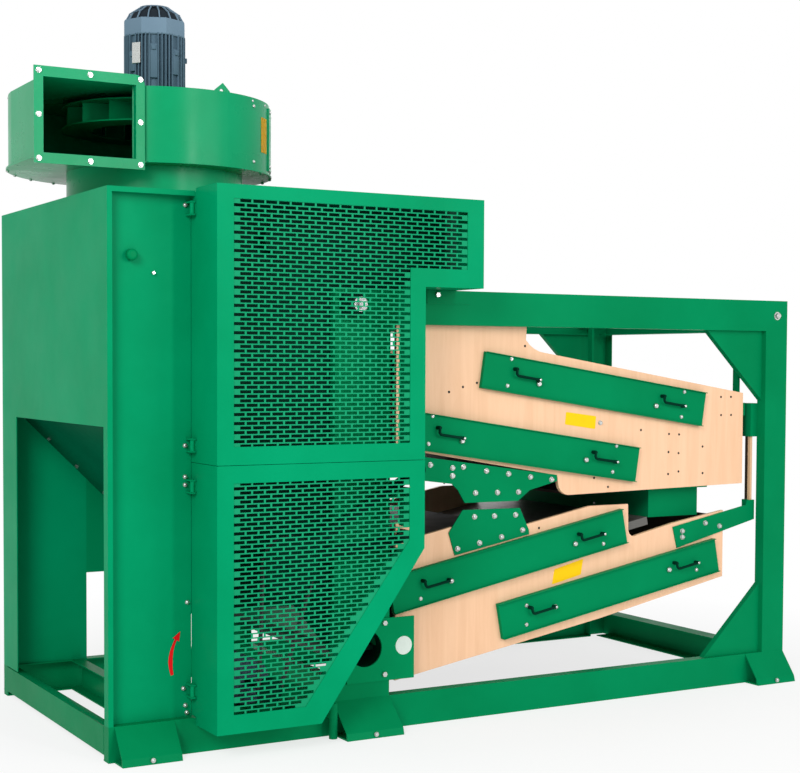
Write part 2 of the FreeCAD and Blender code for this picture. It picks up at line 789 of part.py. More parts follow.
rim_front = block(fan_x - left_radius - 50, outlet_inner_x + 50, outlet_plane - scroll_rim - 1,
                  outlet_plane + outlet_flange_wall, scroll_bottom - scroll_rim_wall - 1, scroll_bottom)
add("fan_scroll", wrap)
add("fan_bottom", bottom_plate.cut(inlet_cut), rim.cut(rim_hole).cut(rim_front))
add("fan_top", top_sheet.cut(shaft_cut))

flange_left = fan_x - left_radius - outlet_flange_side
flange_right = outlet_inner_x + outlet_flange_side
flange_low = scroll_bottom - outlet_flange_side
flange_high = scroll_top + outlet_flange_side
flange = block(flange_left, flange_right, outlet_plane - outlet_flange_wall, outlet_plane, flange_low, flange_high)
corner_edges = [e for e in flange.Edges if e.BoundBox.XMin > flange_right - 1 and e.BoundBox.ZMin > flange_high - 1]
flange = flange.makeFillet(outlet_flange_corner, corner_edges)
flange_opening = block(fan_x - left_radius, outlet_inner_x, outlet_plane - outlet_flange_wall - 1, outlet_plane + 1,
                       scroll_bottom + scroll_wall, scroll_top - scroll_wall)
outlet_hole_inset = 18
flange_hole_x = (flange_left + outlet_hole_inset, (flange_left + flange_right) / 2, flange_right - outlet_hole_inset)
flange_hole_z = (flange_low + outlet_hole_inset, (flange_low + flange_high) / 2, flange_high - outlet_hole_inset)
flange = flange.cut(flange_opening)
for hx in flange_hole_x:
    for hz in flange_hole_z:
        if (hx, hz) != (flange_hole_x[1], flange_hole_z[1]):
            flange = flange.cut(cylinder_y(hx, hz, outlet_hole_radius, outlet_plane - outlet_flange_wall - 1,
                                           outlet_plane + 1))
add("outlet_flange", flange)

cover_arc = []
for grow in (scroll_wall, scroll_wall + fan_cover_wall):
    row = []
    for i in range(4):
        angle = between(cover_start_angle, cover_end_angle, i / 3)
        radius = scroll_radius(angle) + grow
        row.append((fan_x + radius * math.cos(math.radians(angle)), fan_y + radius * math.sin(math.radians(angle))))
    cover_arc.append(row)
cover_points = cover_arc[0] + cover_arc[1][::-1]
fan_cover = plate_xy(cover_points, scroll_bottom + fan_cover_margin, scroll_top - fan_cover_margin)
add("fan_scroll", fan_cover.cut(outer))

lug_plate = plate_xz([(lug_x[0], scroll_top), (lug_x[1], scroll_top),
                      (between(lug_x[0], lug_x[1], 0.9), scroll_top + lug_height * 0.5),
                      (between(lug_x[0], lug_x[1], 0.66), scroll_top + lug_height),
                      (between(lug_x[0], lug_x[1], 0.3), scroll_top + lug_height * 0.4)], lug_y, lug_y + lug_wall)
lug_hole = cylinder_y(between(lug_x[0], lug_x[1], 0.62), scroll_top + lug_height * 0.5, lug_hole_radius * 0.6,
                      lug_y - 1, lug_y + lug_wall + 1)
add("fan_top", lug_plate.cut(lug_hole))

# Impeller on the motor shaft
disc_top = scroll_top - scroll_wall - impeller_gap
disc_bottom = disc_top - impeller_height
back_disc = cylinder_z(fan_x, fan_y, impeller_radius, disc_top - impeller_wall, disc_top)
shroud = ring_z(fan_x, fan_y, impeller_radius, blade_inner_radius + impeller_gap, disc_bottom,
                disc_bottom + impeller_wall)
hub = cylinder_z(fan_x, fan_y, impeller_hub_radius, disc_top - impeller_hub_radius, disc_top - impeller_wall)
fan_shaft = cylinder_z(fan_x, fan_y, impeller_shaft_radius, disc_top - impeller_hub_radius, scroll_top + scroll_wall)
blades = []
for i in range(impeller_blades):
    length = impeller_radius - blade_inner_radius
    blade = block(0, length * 1.05, -impeller_wall / 2, impeller_wall / 2, disc_bottom + impeller_wall,
                  disc_top - impeller_wall)
    blade.rotate(V(0, 0, 0), V(0, 0, 1), -blade_sweep)
    blade.translate(V(blade_inner_radius, length * 0.3, 0))
    blade.rotate(V(0, 0, 0), V(0, 0, 1), 360 / impeller_blades * i)
    blade.translate(V(fan_x, fan_y, 0))
    blades.append(blade)
add("impeller", union([back_disc, shroud, hub, fan_shaft] + blades))

# Fan motor
flange_disc = cylinder_z(fan_x, fan_y, motor_flange_radius, scroll_top, scroll_top + motor_flange_height)
flare = Part.makeCone(motor_flange_radius - 10, motor_core_radius, motor_flange_height,
                      V(fan_x, fan_y, scroll_top + motor_flange_height))
fin_points = []
for i in range(motor_fins):
    for part, radius in ((0.0, motor_core_radius), (0.34, motor_core_radius), (0.42, motor_radius),
                         (0.7, motor_radius)):
        angle = 2 * math.pi * (i + part + 0.24) / motor_fins
        fin_points.append((fan_x + radius * math.cos(angle), fan_y + radius * math.sin(angle)))
fins = plate_xy(fin_points, scroll_top + motor_flange_height * 2, motor_fin_top)
shaft_room = cylinder_z(fan_x, fan_y, impeller_shaft_radius + 0.1, scroll_top - 1, scroll_top + scroll_wall + 1)
box_w, box_l, box_d = terminal_box
terminals = block(fan_x + motor_core_radius, fan_x + motor_radius + box_d, fan_y - box_w / 2, fan_y + box_w / 2,
                  motor_fin_top - box_l - box_w, motor_fin_top - box_w)
add("fan_motor", union([flange_disc, flare, fins, terminals]).cut(shaft_room))
cowl_points = [(fan_x + cowl_radius * math.cos(2 * math.pi * i / cowl_sides),
                fan_y + cowl_radius * math.sin(2 * math.pi * i / cowl_sides)) for i in range(cowl_sides)]
cowl_top = motor_fin_top + cowl_height
cowl = plate_xy(cowl_points, motor_fin_top, cowl_top)
dome = Part.makeCone(cowl_radius * 0.94, dome_radius, dome_height / 2, V(fan_x, fan_y, cowl_top))
dome_cap = Part.makeCone(dome_radius, dome_radius * 0.55, dome_height / 2, V(fan_x, fan_y, cowl_top + dome_height / 2))
add("motor_cowl", union([cowl, dome, dome_cap]))

# Guards in front of the drive
pulley_back = pulley_front + pulley_width
disc_front = pulley_back + pulley_gap
upper_outline = [(guard_left, guard_seam + guard_seam_gap / 2), (guard_right, guard_seam + guard_seam_gap / 2),
                 (guard_right, guard_shoulder_z), (guard_shoulder_right, guard_shoulder_z),
                 (guard_shoulder_right, guard_top), (guard_left, guard_top)]
lower_outline = [(guard_left, guard_bottom), (guard_toe_x, guard_bottom), (guard_right, guard_toe_z),
                 (guard_right, guard_seam - guard_seam_gap / 2), (guard_left, guard_seam - guard_seam_gap / 2)]
upper_field = [(grille_left, upper_grille_bottom), (grille_right, upper_grille_bottom),
               (grille_right, grille_shoulder_z), (grille_shoulder_right, grille_shoulder_z),
               (grille_shoulder_right, grille_top), (grille_left, grille_top)]
lower_field = [(grille_left, lower_grille_bottom), (grille_toe_x, lower_grille_bottom),
               (grille_right, grille_toe_z), (grille_right, lower_grille_top), (grille_left, lower_grille_top)]


def offset_outline(points, distance):
    """Polygon moved inward by a positive distance (points run counter-clockwise)."""
    moved = []
    count = len(points)
    for i in range(count):
        ax, az = points[i - 1]
        bx, bz = points[i]
        cx, cz = points[(i + 1) % count]
        first = math.hypot(bx - ax, bz - az)
        second = math.hypot(cx - bx, cz - bz)
        n1 = (-(bz - az) / first, (bx - ax) / first)
        n2 = (-(cz - bz) / second, (cx - bx) / second)
        dot = 1 + n1[0] * n2[0] + n1[1] * n2[1]
        moved.append((bx + distance * (n1[0] + n2[0]) / dot, bz + distance * (n1[1] + n2[1]) / dot))
    return moved


def guard_shell(outline, field, side_low, side_high):
    """Folded tray with its open side to the machine and a window for the grille."""
    back = -(end_plate_wall + guard_side_clearance)
    tray = plate_xz(outline, guard_front, back)
    hollow = plate_xz(offset_outline(outline, guard_sheet), guard_front + guard_sheet, back + 1)
    window = plate_xz(field, guard_front - 1, guard_front + guard_sheet + 1)
    side = block(guard_left, guard_left + guard_sheet, back, wall_recess - guard_side_clearance, side_low, side_high)
    return tray.cut(hollow).cut(window).fuse(side).removeSplitter()


def inside(outline, x, z):
    """True where a point lies within an outline of counter-clockwise points."""
    hit = False
    j = len(outline) - 1
    for i, (ax, az) in enumerate(outline):
        bx, bz = outline[j]
        if (az > z) != (bz > z) and x < (bx - ax) * (z - az) / (bz - az) + ax:
            hit = not hit
        j = i
    return hit


def grille(field):
    """Slotted sheet behind a window, its slots staggered like brickwork."""
    y0 = guard_front + guard_sheet
    y1 = y0 + grille_sheet
    body = plate_xz(offset_outline(field, -grille_margin), y0, y1)
    xs = [p[0] for p in field]
    zs = [p[1] for p in field]
    slots = []
    rows = int((max(zs) - min(zs)) / grille_row_pitch)
    columns = int((max(xs) - min(xs)) / grille_slot_pitch) + 1
    for row in range(rows + 1):
        z = max(zs) - grille_row_pitch / 2 - row * grille_row_pitch
        shift = grille_slot_pitch / 2 * (row % 2)
        for column_index in range(columns + 1):
            x = min(xs) + grille_slot_length / 2 + column_index * grille_slot_pitch - shift
            corners = [(x + sx * grille_slot_length / 2, z + sz * grille_slot_height / 2)
                       for sx, sz in ((-1, -1), (1, -1), (1, 1), (-1, 1))]
            if all(inside(offset_outline(field, -1), cx, cz) for cx, cz in corners):
                slots.append(plate_xz(corners, y0 - 1, y1 + 1))
    return body.cut(slots[0].multiFuse(slots[1:]))


def rod_notch(pin):
    """Slot, open to the back, where a connecting rod leaves the guard."""
    crossing = drive_z + (pin[1] - drive_z) * (guard_right - drive_x) / (pin[0] - drive_x)
    return block(guard_right - rod_notch_half, guard_right + 1, disc_front - rod_notch_margin, wall_recess,
                 crossing - rod_notch_half, crossing + rod_notch_half)


add("upper_guard", guard_shell(upper_outline, upper_field, guard_seam + guard_seam_gap / 2,
                               aspirator_top - sheet))
add("upper_grille", grille(upper_field))
lower_shell = guard_shell(lower_outline, lower_field, base_beam_height + sheet, guard_seam - guard_seam_gap / 2)
add("lower_guard", lower_shell.cut(rod_notch(upper_pin)).cut(rod_notch(lower_pin)))
add("lower_grille", grille(lower_field))


def hinge_sleeve(z):
    sleeve = ring_z(hinge_x, hinge_y, hinge_sleeve_radius, hinge_pin_radius + bearing_clearance,
                    z - hinge_sleeve_length / 2, z + hinge_sleeve_length / 2)
    tongue = block(hinge_x + hinge_sleeve_radius - 1, guard_left, hinge_y - hinge_lug_wall / 2,
                   hinge_y + hinge_lug_wall / 2, z - hinge_sleeve_length / 2, z + hinge_sleeve_length / 2)
    return sleeve.fuse(tongue).removeSplitter()


def hinge_lug(z):
    """Two ears on the front wall, joined by the hinge pin."""
    ears = []
    for side in (-1, 1):
        near = z + side * (hinge_sleeve_length / 2 + 0.5)
        far = near + side * hinge_lug_wall
        ears.append(block(hinge_x - hinge_sleeve_radius, hinge_x + hinge_sleeve_radius,
                          hinge_y - hinge_sleeve_radius, wall_recess, min(near, far), max(near, far)))
    pin_half = hinge_sleeve_length / 2 + hinge_lug_wall + 2
    ears.append(cylinder_z(hinge_x, hinge_y, hinge_pin_radius, z - pin_half, z + pin_half))
    return union(ears)


add("front_wall", *[hinge_lug(z) for z in upper_hinge_heights + lower_hinge_heights])
add("upper_guard", *[hinge_sleeve(z) for z in upper_hinge_heights])
add("lower_guard", *[hinge_sleeve(z) for z in lower_hinge_heights])

# Shoe drive: motor, belt and eccentric shaft
rail_z = base_beam_height - motor_rail_size
rails = [block(inner_cross_left + member_depth, column_right - member_depth, y, y + motor_rail_size,
               rail_z, base_beam_height)
         for y in (drive_motor_back + motor_rail_size, drive_motor_back + drive_motor_length - 2 * motor_rail_size)]
bed_top = base_beam_height + motor_bed_wall
bed = block(drive_motor_x - drive_motor_radius, drive_motor_x + drive_motor_radius, drive_motor_back + 20,
            drive_motor_back + drive_motor_length - 20, base_beam_height, bed_top)
add("base_frame", *rails, bed)
motor_shell = cylinder_y(drive_motor_x, drive_motor_z, drive_motor_radius, drive_motor_back,
                         drive_motor_back + drive_motor_length)
motor_foot = block(drive_motor_x - drive_motor_radius * 0.8, drive_motor_x + drive_motor_radius * 0.8,
                   drive_motor_back + 40, drive_motor_back + drive_motor_length - 80, bed_top,
                   drive_motor_z - drive_motor_radius * 0.5)
shaft_bore = cylinder_y(drive_motor_x, drive_motor_z, drive_motor_shaft_radius + bearing_clearance,
                        drive_motor_back - 1, drive_motor_back + 60)
add("drive_motor", motor_shell.fuse(motor_foot).removeSplitter().cut(shaft_bore))


def pulley(x, z, radius, bore):
    body = cylinder_y(x, z, radius, pulley_front, pulley_back)
    groove = ring_y(x, z, radius + 1, radius - belt_thickness, pulley_front + 6, pulley_back - 6)
    return body.cut(groove).cut(cylinder_y(x, z, bore, pulley_front - 1, pulley_back + 1))


motor_pulley = pulley(drive_motor_x, drive_motor_z, small_pulley_radius, drive_motor_shaft_radius)
motor_shaft = cylinder_y(drive_motor_x, drive_motor_z, drive_motor_shaft_radius, pulley_front,
                         drive_motor_back + 55)
add("motor_pulley", motor_pulley.fuse(motor_shaft).removeSplitter())


def belt_loop(grow):
    """Filled outline of the belt round both pulleys, grown by a distance."""
    big = big_pulley_radius - belt_thickness + grow
    small = small_pulley_radius - belt_thickness + grow
    dx = drive_motor_x - drive_x
    dz = drive_motor_z - drive_z
    span = math.hypot(dx, dz)
    base = math.atan2(dz, dx)
    lean = math.acos((big - small) / span)
    y0 = pulley_front + 7
    y1 = pulley_back - 7
    corners = []
    for sign, first, second in ((1, (drive_x, drive_z, big), (drive_motor_x, drive_motor_z, small)),
                                (-1, (drive_motor_x, drive_motor_z, small), (drive_x, drive_z, big))):
        for cx, cz, radius in (first, second):
            corners.append((cx + radius * math.cos(base + sign * lean), cz + radius * math.sin(base + sign * lean)))
    body = plate_xz(corners, y0, y1)
    return body.fuse([cylinder_y(drive_x, drive_z, big, y0, y1),
                      cylinder_y(drive_motor_x, drive_motor_z, small, y0, y1)]).removeSplitter()


add("drive_belt", belt_loop(belt_gap + belt_thickness).cut(belt_loop(belt_gap)))

disc_spans = [(disc_front, disc_front + eccentric_width),
              (disc_front + eccentric_width + eccentric_gap, disc_front + 2 * eccentric_width + eccentric_gap)]
drive_shaft = cylinder_y(drive_x, drive_z, drive_shaft_radius, pulley_front - 10,
                         frame_width - disc_front + eccentric_gap)
eccentrics = []
for (y0, y1), offset in zip(disc_spans, (throw, -throw)):
    disc = cylinder_y(drive_x + offset, drive_z, eccentric_radius, y0, y1)
    eccentrics += [disc, mirrored(disc)]
big_pulley = pulley(drive_x, drive_z, big_pulley_radius, drive_shaft_radius)
add("eccentric_shaft", big_pulley)
add("eccentric_shaft", union([drive_shaft] + eccentrics))

shaft_tube = ring_y(drive_x, drive_z, shaft_tube_radius, shaft_tube_radius - shaft_tube_wall, wall_recess,
                    frame_width - wall_recess)
add("drive_bearings", shaft_tube)


def flange_bearing(x, z, radius, y1, depth):
    """Square flange bearing in front of a wall at y1."""
    body = block(x - bearing_size, x + bearing_size, y1 - depth, y1, z - bearing_size, z + bearing_size)
    body = body.makeFillet(bearing_size / 3, [e for e in body.Edges if e.Length < depth + 1])
    return body.cut(cylinder_y(x, z, radius + bearing_clearance, y1 - depth - 1, y1 + 1))


add("drive_bearings", *both_sides([flange_bearing(drive_x, drive_z, drive_shaft_radius, wall_recess,
                                                  bearing_depth)]))
add("drive_bearings", flange_bearing(roller_x, roller_z, roller_shaft_radius, 0, bearing_depth))

rear_cover_left = drive_x - rod_ring_radius - 50
rear_cover_right = upper_pin[0] + 70
rear_cover_low = drive_z - rod_ring_radius - 50
rear_cover_high = upper_pin[1] + 90
rear_depth = 110
rear_outline = [(rear_cover_left, rear_cover_low), (rear_cover_right, rear_cover_low),
                (rear_cover_right, rear_cover_high), (rear_cover_left + 300, rear_cover_high),
                (rear_cover_left, rear_cover_low + 300)]
rear_guard = plate_xz(rear_outline, frame_width, frame_width + rear_depth)
rear_hollow = plate_xz(offset_outline(rear_outline, guard_sheet), frame_width - 1, frame_width + rear_depth - guard_sheet)
add("rear_guard", rear_guard.cut(rear_hollow))

# Shoes
side_y = member_depth + shoe_side_gap
inner_y = side_y + plywood
upper_shoe_right = post_left - upper_shoe_end_gap
lower_shoe_right = post_left - lower_shoe_end_gap
transfer_left = upper_shoe_right - transfer_reach[0]
transfer_right = upper_shoe_right - transfer_reach[1]
cover_corners = ((upper_shoe_right - cover_reach[0], cover_heights[0]), *inner_cover_corners,
                 (lower_shoe_right - cover_reach[1], cover_heights[1]))


def arc_points(start, middle, end, count):
    """Points on the circle through three places, for a rounded corner of a board."""
    arc = Part.Arc(V(start[0], 0, start[1]), V(middle[0], 0, middle[1]), V(end[0], 0, end[1]))
    curve = arc.toShape().discretize(count)
    return [(p.x, p.z) for p in curve]


upper_top_step = 1911
upper_side = [(shoe_left, upper_shoe_top), (shoe_left, 1147), (1401, 1124), (2076, 1010)]
upper_side += arc_points((2082, 975), (2098, 938), (2136, 920), 5)
upper_side += [(upper_shoe_right, 938), (upper_shoe_right, 1365)]
upper_side += arc_points((2006, 1546), (1945, 1566), (1906, 1601), 5)
upper_side += [(upper_top_step, upper_shoe_top)]
lower_side = [(shoe_left, 838), (shoe_left, 179.5), (2318, 359), (lower_shoe_right, 503),
              (lower_shoe_right, 815), (lower_shoe_right - 300, 768)]
lower_side += arc_points((lower_shoe_right - 508, 723), (lower_shoe_right - 545, 724), (lower_shoe_right - 558, 748), 5)
lower_side += [(lower_shoe_right - 561, 866), (lower_shoe_right - 774, 866), (1924, 801), (1536, 807), (1403, 780),
               (1335, 838)]
pin_hole_upper = cylinder_y(upper_pin[0], upper_pin[1], pin_radius, 0, frame_width)
pin_hole_lower = cylinder_y(lower_pin[0], lower_pin[1], pin_radius, 0, frame_width)


def shoe_sides(outline, hole):
    side = plate_xz(outline, side_y, inner_y).cut(hole)
    return both_sides([side])


def board(start, end, wall, y0=None):
    """Board across a shoe along a line in the side view, its thickness below the line."""
    front = inner_y if y0 is None else y0
    return strip_xz([start, end], wall, front, frame_width - front)


add("upper_shoe", *shoe_sides(upper_side, pin_hole_upper))
add("lower_shoe", *shoe_sides(lower_side, pin_hole_lower))

upper_boards = [board((2006, 1546), (upper_shoe_right, 1365), floor_board),
                board((shoe_left + plywood, 1147 + floor_board), (2076, 1010 + floor_board), floor_board),
                board((2150, 920 + floor_board), (transfer_left - 0.5, 929 + floor_board), floor_board),
                board((upper_shoe_right - plywood, 1340), (upper_shoe_right - plywood, 1060), -plywood, inner_y + bracket_wall)]
lower_boards = [board((shoe_left + plywood, 195), (2318, 359 + floor_board), floor_board),
                board((2330, 361 + floor_board), (lower_shoe_right - plywood, 503 + floor_board), floor_board),
                board((1290, 752), (1900, 790), floor_board),
                board((lower_shoe_right - plywood, 790), (lower_shoe_right - plywood, 620), -plywood)]
add("upper_shoe", *upper_boards)
add("lower_shoe", *lower_boards)


def cover_frame(index):
    """Corner and directions of a screen cover: along its length and up across it."""
    angle = math.radians(cover_angles[index])
    corner = cover_corners[index]
    return corner, (math.cos(angle), math.sin(angle)), (-math.sin(angle), math.cos(angle))


def on_cover(index, along, up):
    corner, run, rise = cover_frame(index)
    return (corner[0] + run[0] * along + rise[0] * up, corner[1] + run[1] * along + rise[1] * up)


def screen(index, start, end):
    """Screen frame lying behind a cover: a rim, a middle bar and the screen sheet."""
    front = inner_y + screen_gap
    back = frame_width - front
    low = on_cover(index, start, cover_height / 2)
    high = on_cover(index, end, cover_height / 2)
    slab = strip_xz([low, high], screen_frame_height, front, back)
    rim_width = 40
    sheet_wall = 3
    for part in (0.0, 0.5):
        a = on_cover(index, between(start, end, part) + rim_width, cover_height / 2 - sheet_wall)
        b = on_cover(index, between(start, end, part + 0.5) - rim_width, cover_height / 2 - sheet_wall)
        pocket = strip_xz([a, b], screen_frame_height, front + rim_width, back - rim_width)
        slab = slab.cut(pocket)
    return slab


def cleats(index, start, end):
    """Rails on both side boards that a screen frame rests on."""
    up = cover_height / 2 - screen_frame_height
    line = [on_cover(index, start, up), on_cover(index, end, up)]
    return both_sides([strip_xz(line, cleat_wall, inner_y, inner_y + cleat_width)])


add("upper_shoe", *cleats(0, 0, cover_length), *cleats(1, screen_margin, cover_length))
add("lower_shoe", *cleats(2, screen_margin, cover_length), *cleats(3, 0, cover_length - screen_margin))
add("upper_screens", screen(0, -280, cover_length + 80), screen(1, 60, cover_length + 120))
add("lower_screens", screen(2, 60, cover_length + 160), screen(3, -300, cover_length - 60))

plate_y = side_y - bracket_wall
upper_bracket = plate_xz([(1254, 1132), (1254, 1030), (1398, 1007), (1531, 990), (1561, 963), (1596, 907),
                          (1867, 905), (1929, 950), (2072, 984), (2072, 1011), (1398, 1107)], plate_y, side_y)
lower_bracket = plate_xz([(1517, 783), (1548, 686), (1926, 757), (1925, 776), (1877, 874), (1586, 877)],
                         plate_y, side_y)
add("upper_brackets", *both_sides([upper_bracket.cut(pin_hole_upper)]))
add("lower_brackets", *both_sides([lower_bracket]))
lower_right_leaf_x = post_left - lower_right_leaf_inset
arm_right = lower_right_leaf_x + leaf_wall + clamp_wall + 2
arm = plate_xz([(lower_shoe_right - 304, 750), (lower_shoe_right - 279, 652), (arm_right, 765), (arm_right, 857),
                (arm_right - 45, 857), (arm_right - 51, 834)], plate_y, side_y)
add("lower_brackets", *both_sides([arm]))

upper_bolt_spots = [(1423, 1074), (1532, 1058), (1586, 1060), (1532, 1024), (1702, 1040), (1815, 1024),
                    (1929, 1007), (2041, 992), (1647, 948), (1759, 946), (1867, 944)]
lower_bolt_spots = [(1643, 846), (1744, 845), (1853, 845), (1890, 778), (1781, 753), (1669, 733), (1559, 714),
                    (lower_shoe_right - 251, 729), (lower_shoe_right - 251, 701), (lower_shoe_right - 114, 760),
                    (lower_shoe_right - 28, 742)]


def shoe_bolts(spots):
    return both_sides([bolt_front(x, z, plate_y, shoe_bolt_flats, shoe_bolt_head) for x, z in spots])


add("upper_shoe_bolts", *shoe_bolts(upper_bolt_spots))
add("lower_shoe_bolts", *shoe_bolts(lower_bolt_spots))


def drive_pin(pin):
    """Cross shaft of a shoe, its ends standing out as pins for the rods."""
    reach = -disc_front + 2
    return cylinder_y(pin[0], pin[1], pin_radius, -reach, frame_width + reach)


def rod(pin, span):
    """Connecting rod: a wide ring round the eccentric, a bar and a pin eye."""
    y0, y1 = span
    middle = (y0 + y1) / 2
    dx = pin[0] - drive_x
    dz = pin[1] - drive_z
    size = math.hypot(dx, dz)
    ux = dx / size
    uz = dz / size
    start = (drive_x + ux * (rod_ring_radius - 6), drive_z + uz * (rod_ring_radius - 6))
    end = (pin[0] - ux * (pin_eye_radius - 5), pin[1] - uz * (pin_eye_radius - 5))
    half = rod_bar_height / 2
    bar = plate_xz([(start[0] + uz * half, start[1] - ux * half), (end[0] + uz * half * 0.8, end[1] - ux * half * 0.8),
                    (end[0] - uz * half * 0.8, end[1] + ux * half * 0.8), (start[0] - uz * half, start[1] + ux * half)],
                   middle - rod_bar_wall / 2, middle + rod_bar_wall / 2)
    ring_inner = eccentric_radius + throw + rod_ring_clearance
    ring = cylinder_y(drive_x, drive_z, rod_ring_radius, y0, y1)
    eye = cylinder_y(pin[0], pin[1], pin_eye_radius, y0, y1)
    body = union([bar, ring, eye])
    return body.cut(cylinder_y(drive_x, drive_z, ring_inner, y0 - 1, y1 + 1)).cut(
        cylinder_y(pin[0], pin[1], pin_radius, y0 - 1, y1 + 1))


add("upper_rods", drive_pin(upper_pin))
add("lower_rods", drive_pin(lower_pin))
add("upper_rods", *both_sides([rod(upper_pin, disc_spans[0])]))
add("lower_rods", *both_sides([rod(lower_pin, disc_spans[1])]))

transfer_outer = block(transfer_left, transfer_right, transfer_side, frame_width - transfer_side,
                       transfer_bottom, 938 - floor_board)
transfer_inner = block(transfer_left + sheet, transfer_right - sheet, transfer_side + sheet,
                       frame_width - transfer_side - sheet, transfer_bottom - 1, 938)
transfer_lip = block(transfer_left, transfer_right, inner_y, frame_width - inner_y, 938 - floor_board, 938)
transfer_lip = transfer_lip.cut(block(transfer_left + sheet, transfer_right - sheet, transfer_side + sheet,
                                      frame_width - transfer_side - sheet, 900, 940))
add("upper_brackets", transfer_outer.cut(transfer_inner).fuse(transfer_lip).removeSplitter())


# Screen covers with their handles and knobs
def placed(shape, index):
    """Moves a piece drawn along X and Z from the origin to its cover's corner and angle."""
    shape.rotate(V(0, 0, 0), V(0, -1, 0), cover_angles[index])
    shape.translate(V(cover_corners[index][0], 0, cover_corners[index][1]))
    return shape


def cover_tray():
    front = side_y - cover_depth
    body = block(0, cover_length, front, side_y - 0.5, 0, cover_height)
    hollow = block(cover_sheet, cover_length - cover_sheet, front + cover_sheet, side_y + 1, cover_sheet,
                   cover_height - cover_sheet)
    return body.cut(hollow)


def bar_handle(x):
    front = side_y - cover_depth
    grip_y = front - handle_reach
    grip = Part.makeCylinder(handle_radius, handle_length, V(x, grip_y, handle_height), V(1, 0, 0))
    leg_inset = handle_radius * 1.5
    legs = [cylinder_y(x + leg_inset, handle_height, handle_radius * 0.8, grip_y, front),
            cylinder_y(x + handle_length - leg_inset, handle_height, handle_radius * 0.8, grip_y, front)]
    return union([grip] + legs)


for index in range(4):
    front = side_y - cover_depth
    number = str(index + 1)
    add("screen_cover_" + number, placed(cover_tray(), index))
    add("cover_fittings_" + number, *[placed(bar_handle(x), index) for x in handle_inset])
    add("cover_fittings_" + number, *[placed(cylinder_y(x, knob_height, knob_radius, front - knob_length, front), index)
                                   for x in knob_inset])


# Hangers: wooden leaves on pivot pins, their clamps on the frame and on the shoes
inner_leaf_y = inner_y + leaf_inset
arm_leaf_y = side_y + leaf_clearance


def leaf(x, y0, z0, z1, pivot_z):
    body = block(x, x + leaf_wall, y0, y0 + leaf_width, z0, z1)
    return body.cut(cylinder_y(x + leaf_wall / 2, pivot_z, leaf_pin_radius + bearing_clearance, y0 - 1,
                               y0 + leaf_width + 1))


def clamp(x, y0, z0, z1, y_from):
    """Clamp round a leaf, reaching back from a wall at y_from."""
    gap = leaf_clearance
    y1 = y0 + leaf_width + gap + clamp_wall
    body = block(x - clamp_wall, x + leaf_wall + clamp_wall, y_from, y1, z0, z1)
    return body.cut(block(x - gap, x + leaf_wall + gap, y0 - gap, y0 + leaf_width + gap, z0 - 1, z1 + 1))


def pinned_clamp(x, y0, z0, z1, y_from, pivot_z, *more):
    """Clamp on the frame with the pin that its leaf swings on."""
    pin = cylinder_y(x + leaf_wall / 2, pivot_z, leaf_pin_radius, y0 - leaf_clearance - 1,
                     y0 + leaf_width + leaf_clearance + 1)
    return union([clamp(x, y0, z0, z1, y_from), pin] + list(more))


upper_clamp_low = upper_shoe_top + leaf_clamp_gap
upper_clamp_high = upper_clamp_low + clamp_height
upper_pivot_z = upper_clamp_low + clamp_height / 2
lower_left_pivot_z = lower_left_leaf_top - clamp_height / 2
column_arm = block(column_right, lower_left_leaf_x - clamp_wall, member_wall, inner_leaf_y + leaf_width,
                   lower_left_leaf_top - clamp_height, lower_left_leaf_top)
upper_right_leaf_x = upper_shoe_right + upper_right_leaf_gap
frame_clamps = [pinned_clamp(x, inner_leaf_y, upper_clamp_low, upper_clamp_high, member_wall, upper_pivot_z)
                for x in (upper_left_leaf_x, upper_right_leaf_x)]
frame_clamps.append(pinned_clamp(lower_left_leaf_x, inner_leaf_y, lower_left_leaf_top - clamp_height,
                                 lower_left_leaf_top, member_wall, lower_left_pivot_z, column_arm))
bracket_cap = block(lower_right_leaf_x - clamp_wall, post_left + clamp_wall, member_depth,
                    arm_leaf_y + leaf_width + leaf_clearance + clamp_wall, lower_leaf_top + leaf_clamp_gap,
                    hanger_bracket_top)
post_tab = block(lower_right_leaf_x + leaf_wall + clamp_wall, post_left + clamp_wall, member_depth,
                 member_depth + clamp_wall, hanger_bracket_bottom, hanger_bracket_top)
frame_clamps.append(pinned_clamp(lower_right_leaf_x, arm_leaf_y, hanger_bracket_bottom,
                                 lower_leaf_top + leaf_clamp_gap, member_depth, lower_right_pivot_z, bracket_cap,
                                 post_tab))
add("frame_hangers", *both_sides(frame_clamps))

add("upper_left_leaves", *both_sides([leaf(upper_left_leaf_x, inner_leaf_y, upper_left_leaf_bottom,
                                           upper_clamp_high, upper_pivot_z)]))
add("upper_right_leaves", *both_sides([leaf(upper_right_leaf_x, inner_leaf_y, upper_right_leaf_bottom,
                                            upper_clamp_high, upper_pivot_z)]))
add("lower_left_leaves", *both_sides([leaf(lower_left_leaf_x, inner_leaf_y, lower_left_leaf_bottom,
                                           lower_left_leaf_top, lower_left_pivot_z)]))
add("lower_right_leaves", *both_sides([leaf(lower_right_leaf_x, arm_leaf_y, lower_right_leaf_bottom,
                                            lower_leaf_top, lower_right_pivot_z)]))

upper_left_ear = clamp(upper_left_leaf_x, inner_leaf_y, upper_left_leaf_bottom + ear_margin,
                       upper_left_leaf_bottom + ear_margin + clamp_height, inner_y)
upper_right_ear = clamp(upper_right_leaf_x, inner_leaf_y, upper_right_leaf_bottom + ear_margin,
                        upper_right_leaf_bottom + ear_margin + clamp_height, inner_y)
ear_plate = block(upper_shoe_right - ear_plate_length, upper_right_leaf_x - clamp_wall, inner_y, inner_y + bracket_wall,
                  upper_right_leaf_bottom, upper_right_leaf_bottom + ear_plate_height)
add("upper_brackets", *both_sides([upper_left_ear, union([upper_right_ear, ear_plate])]))

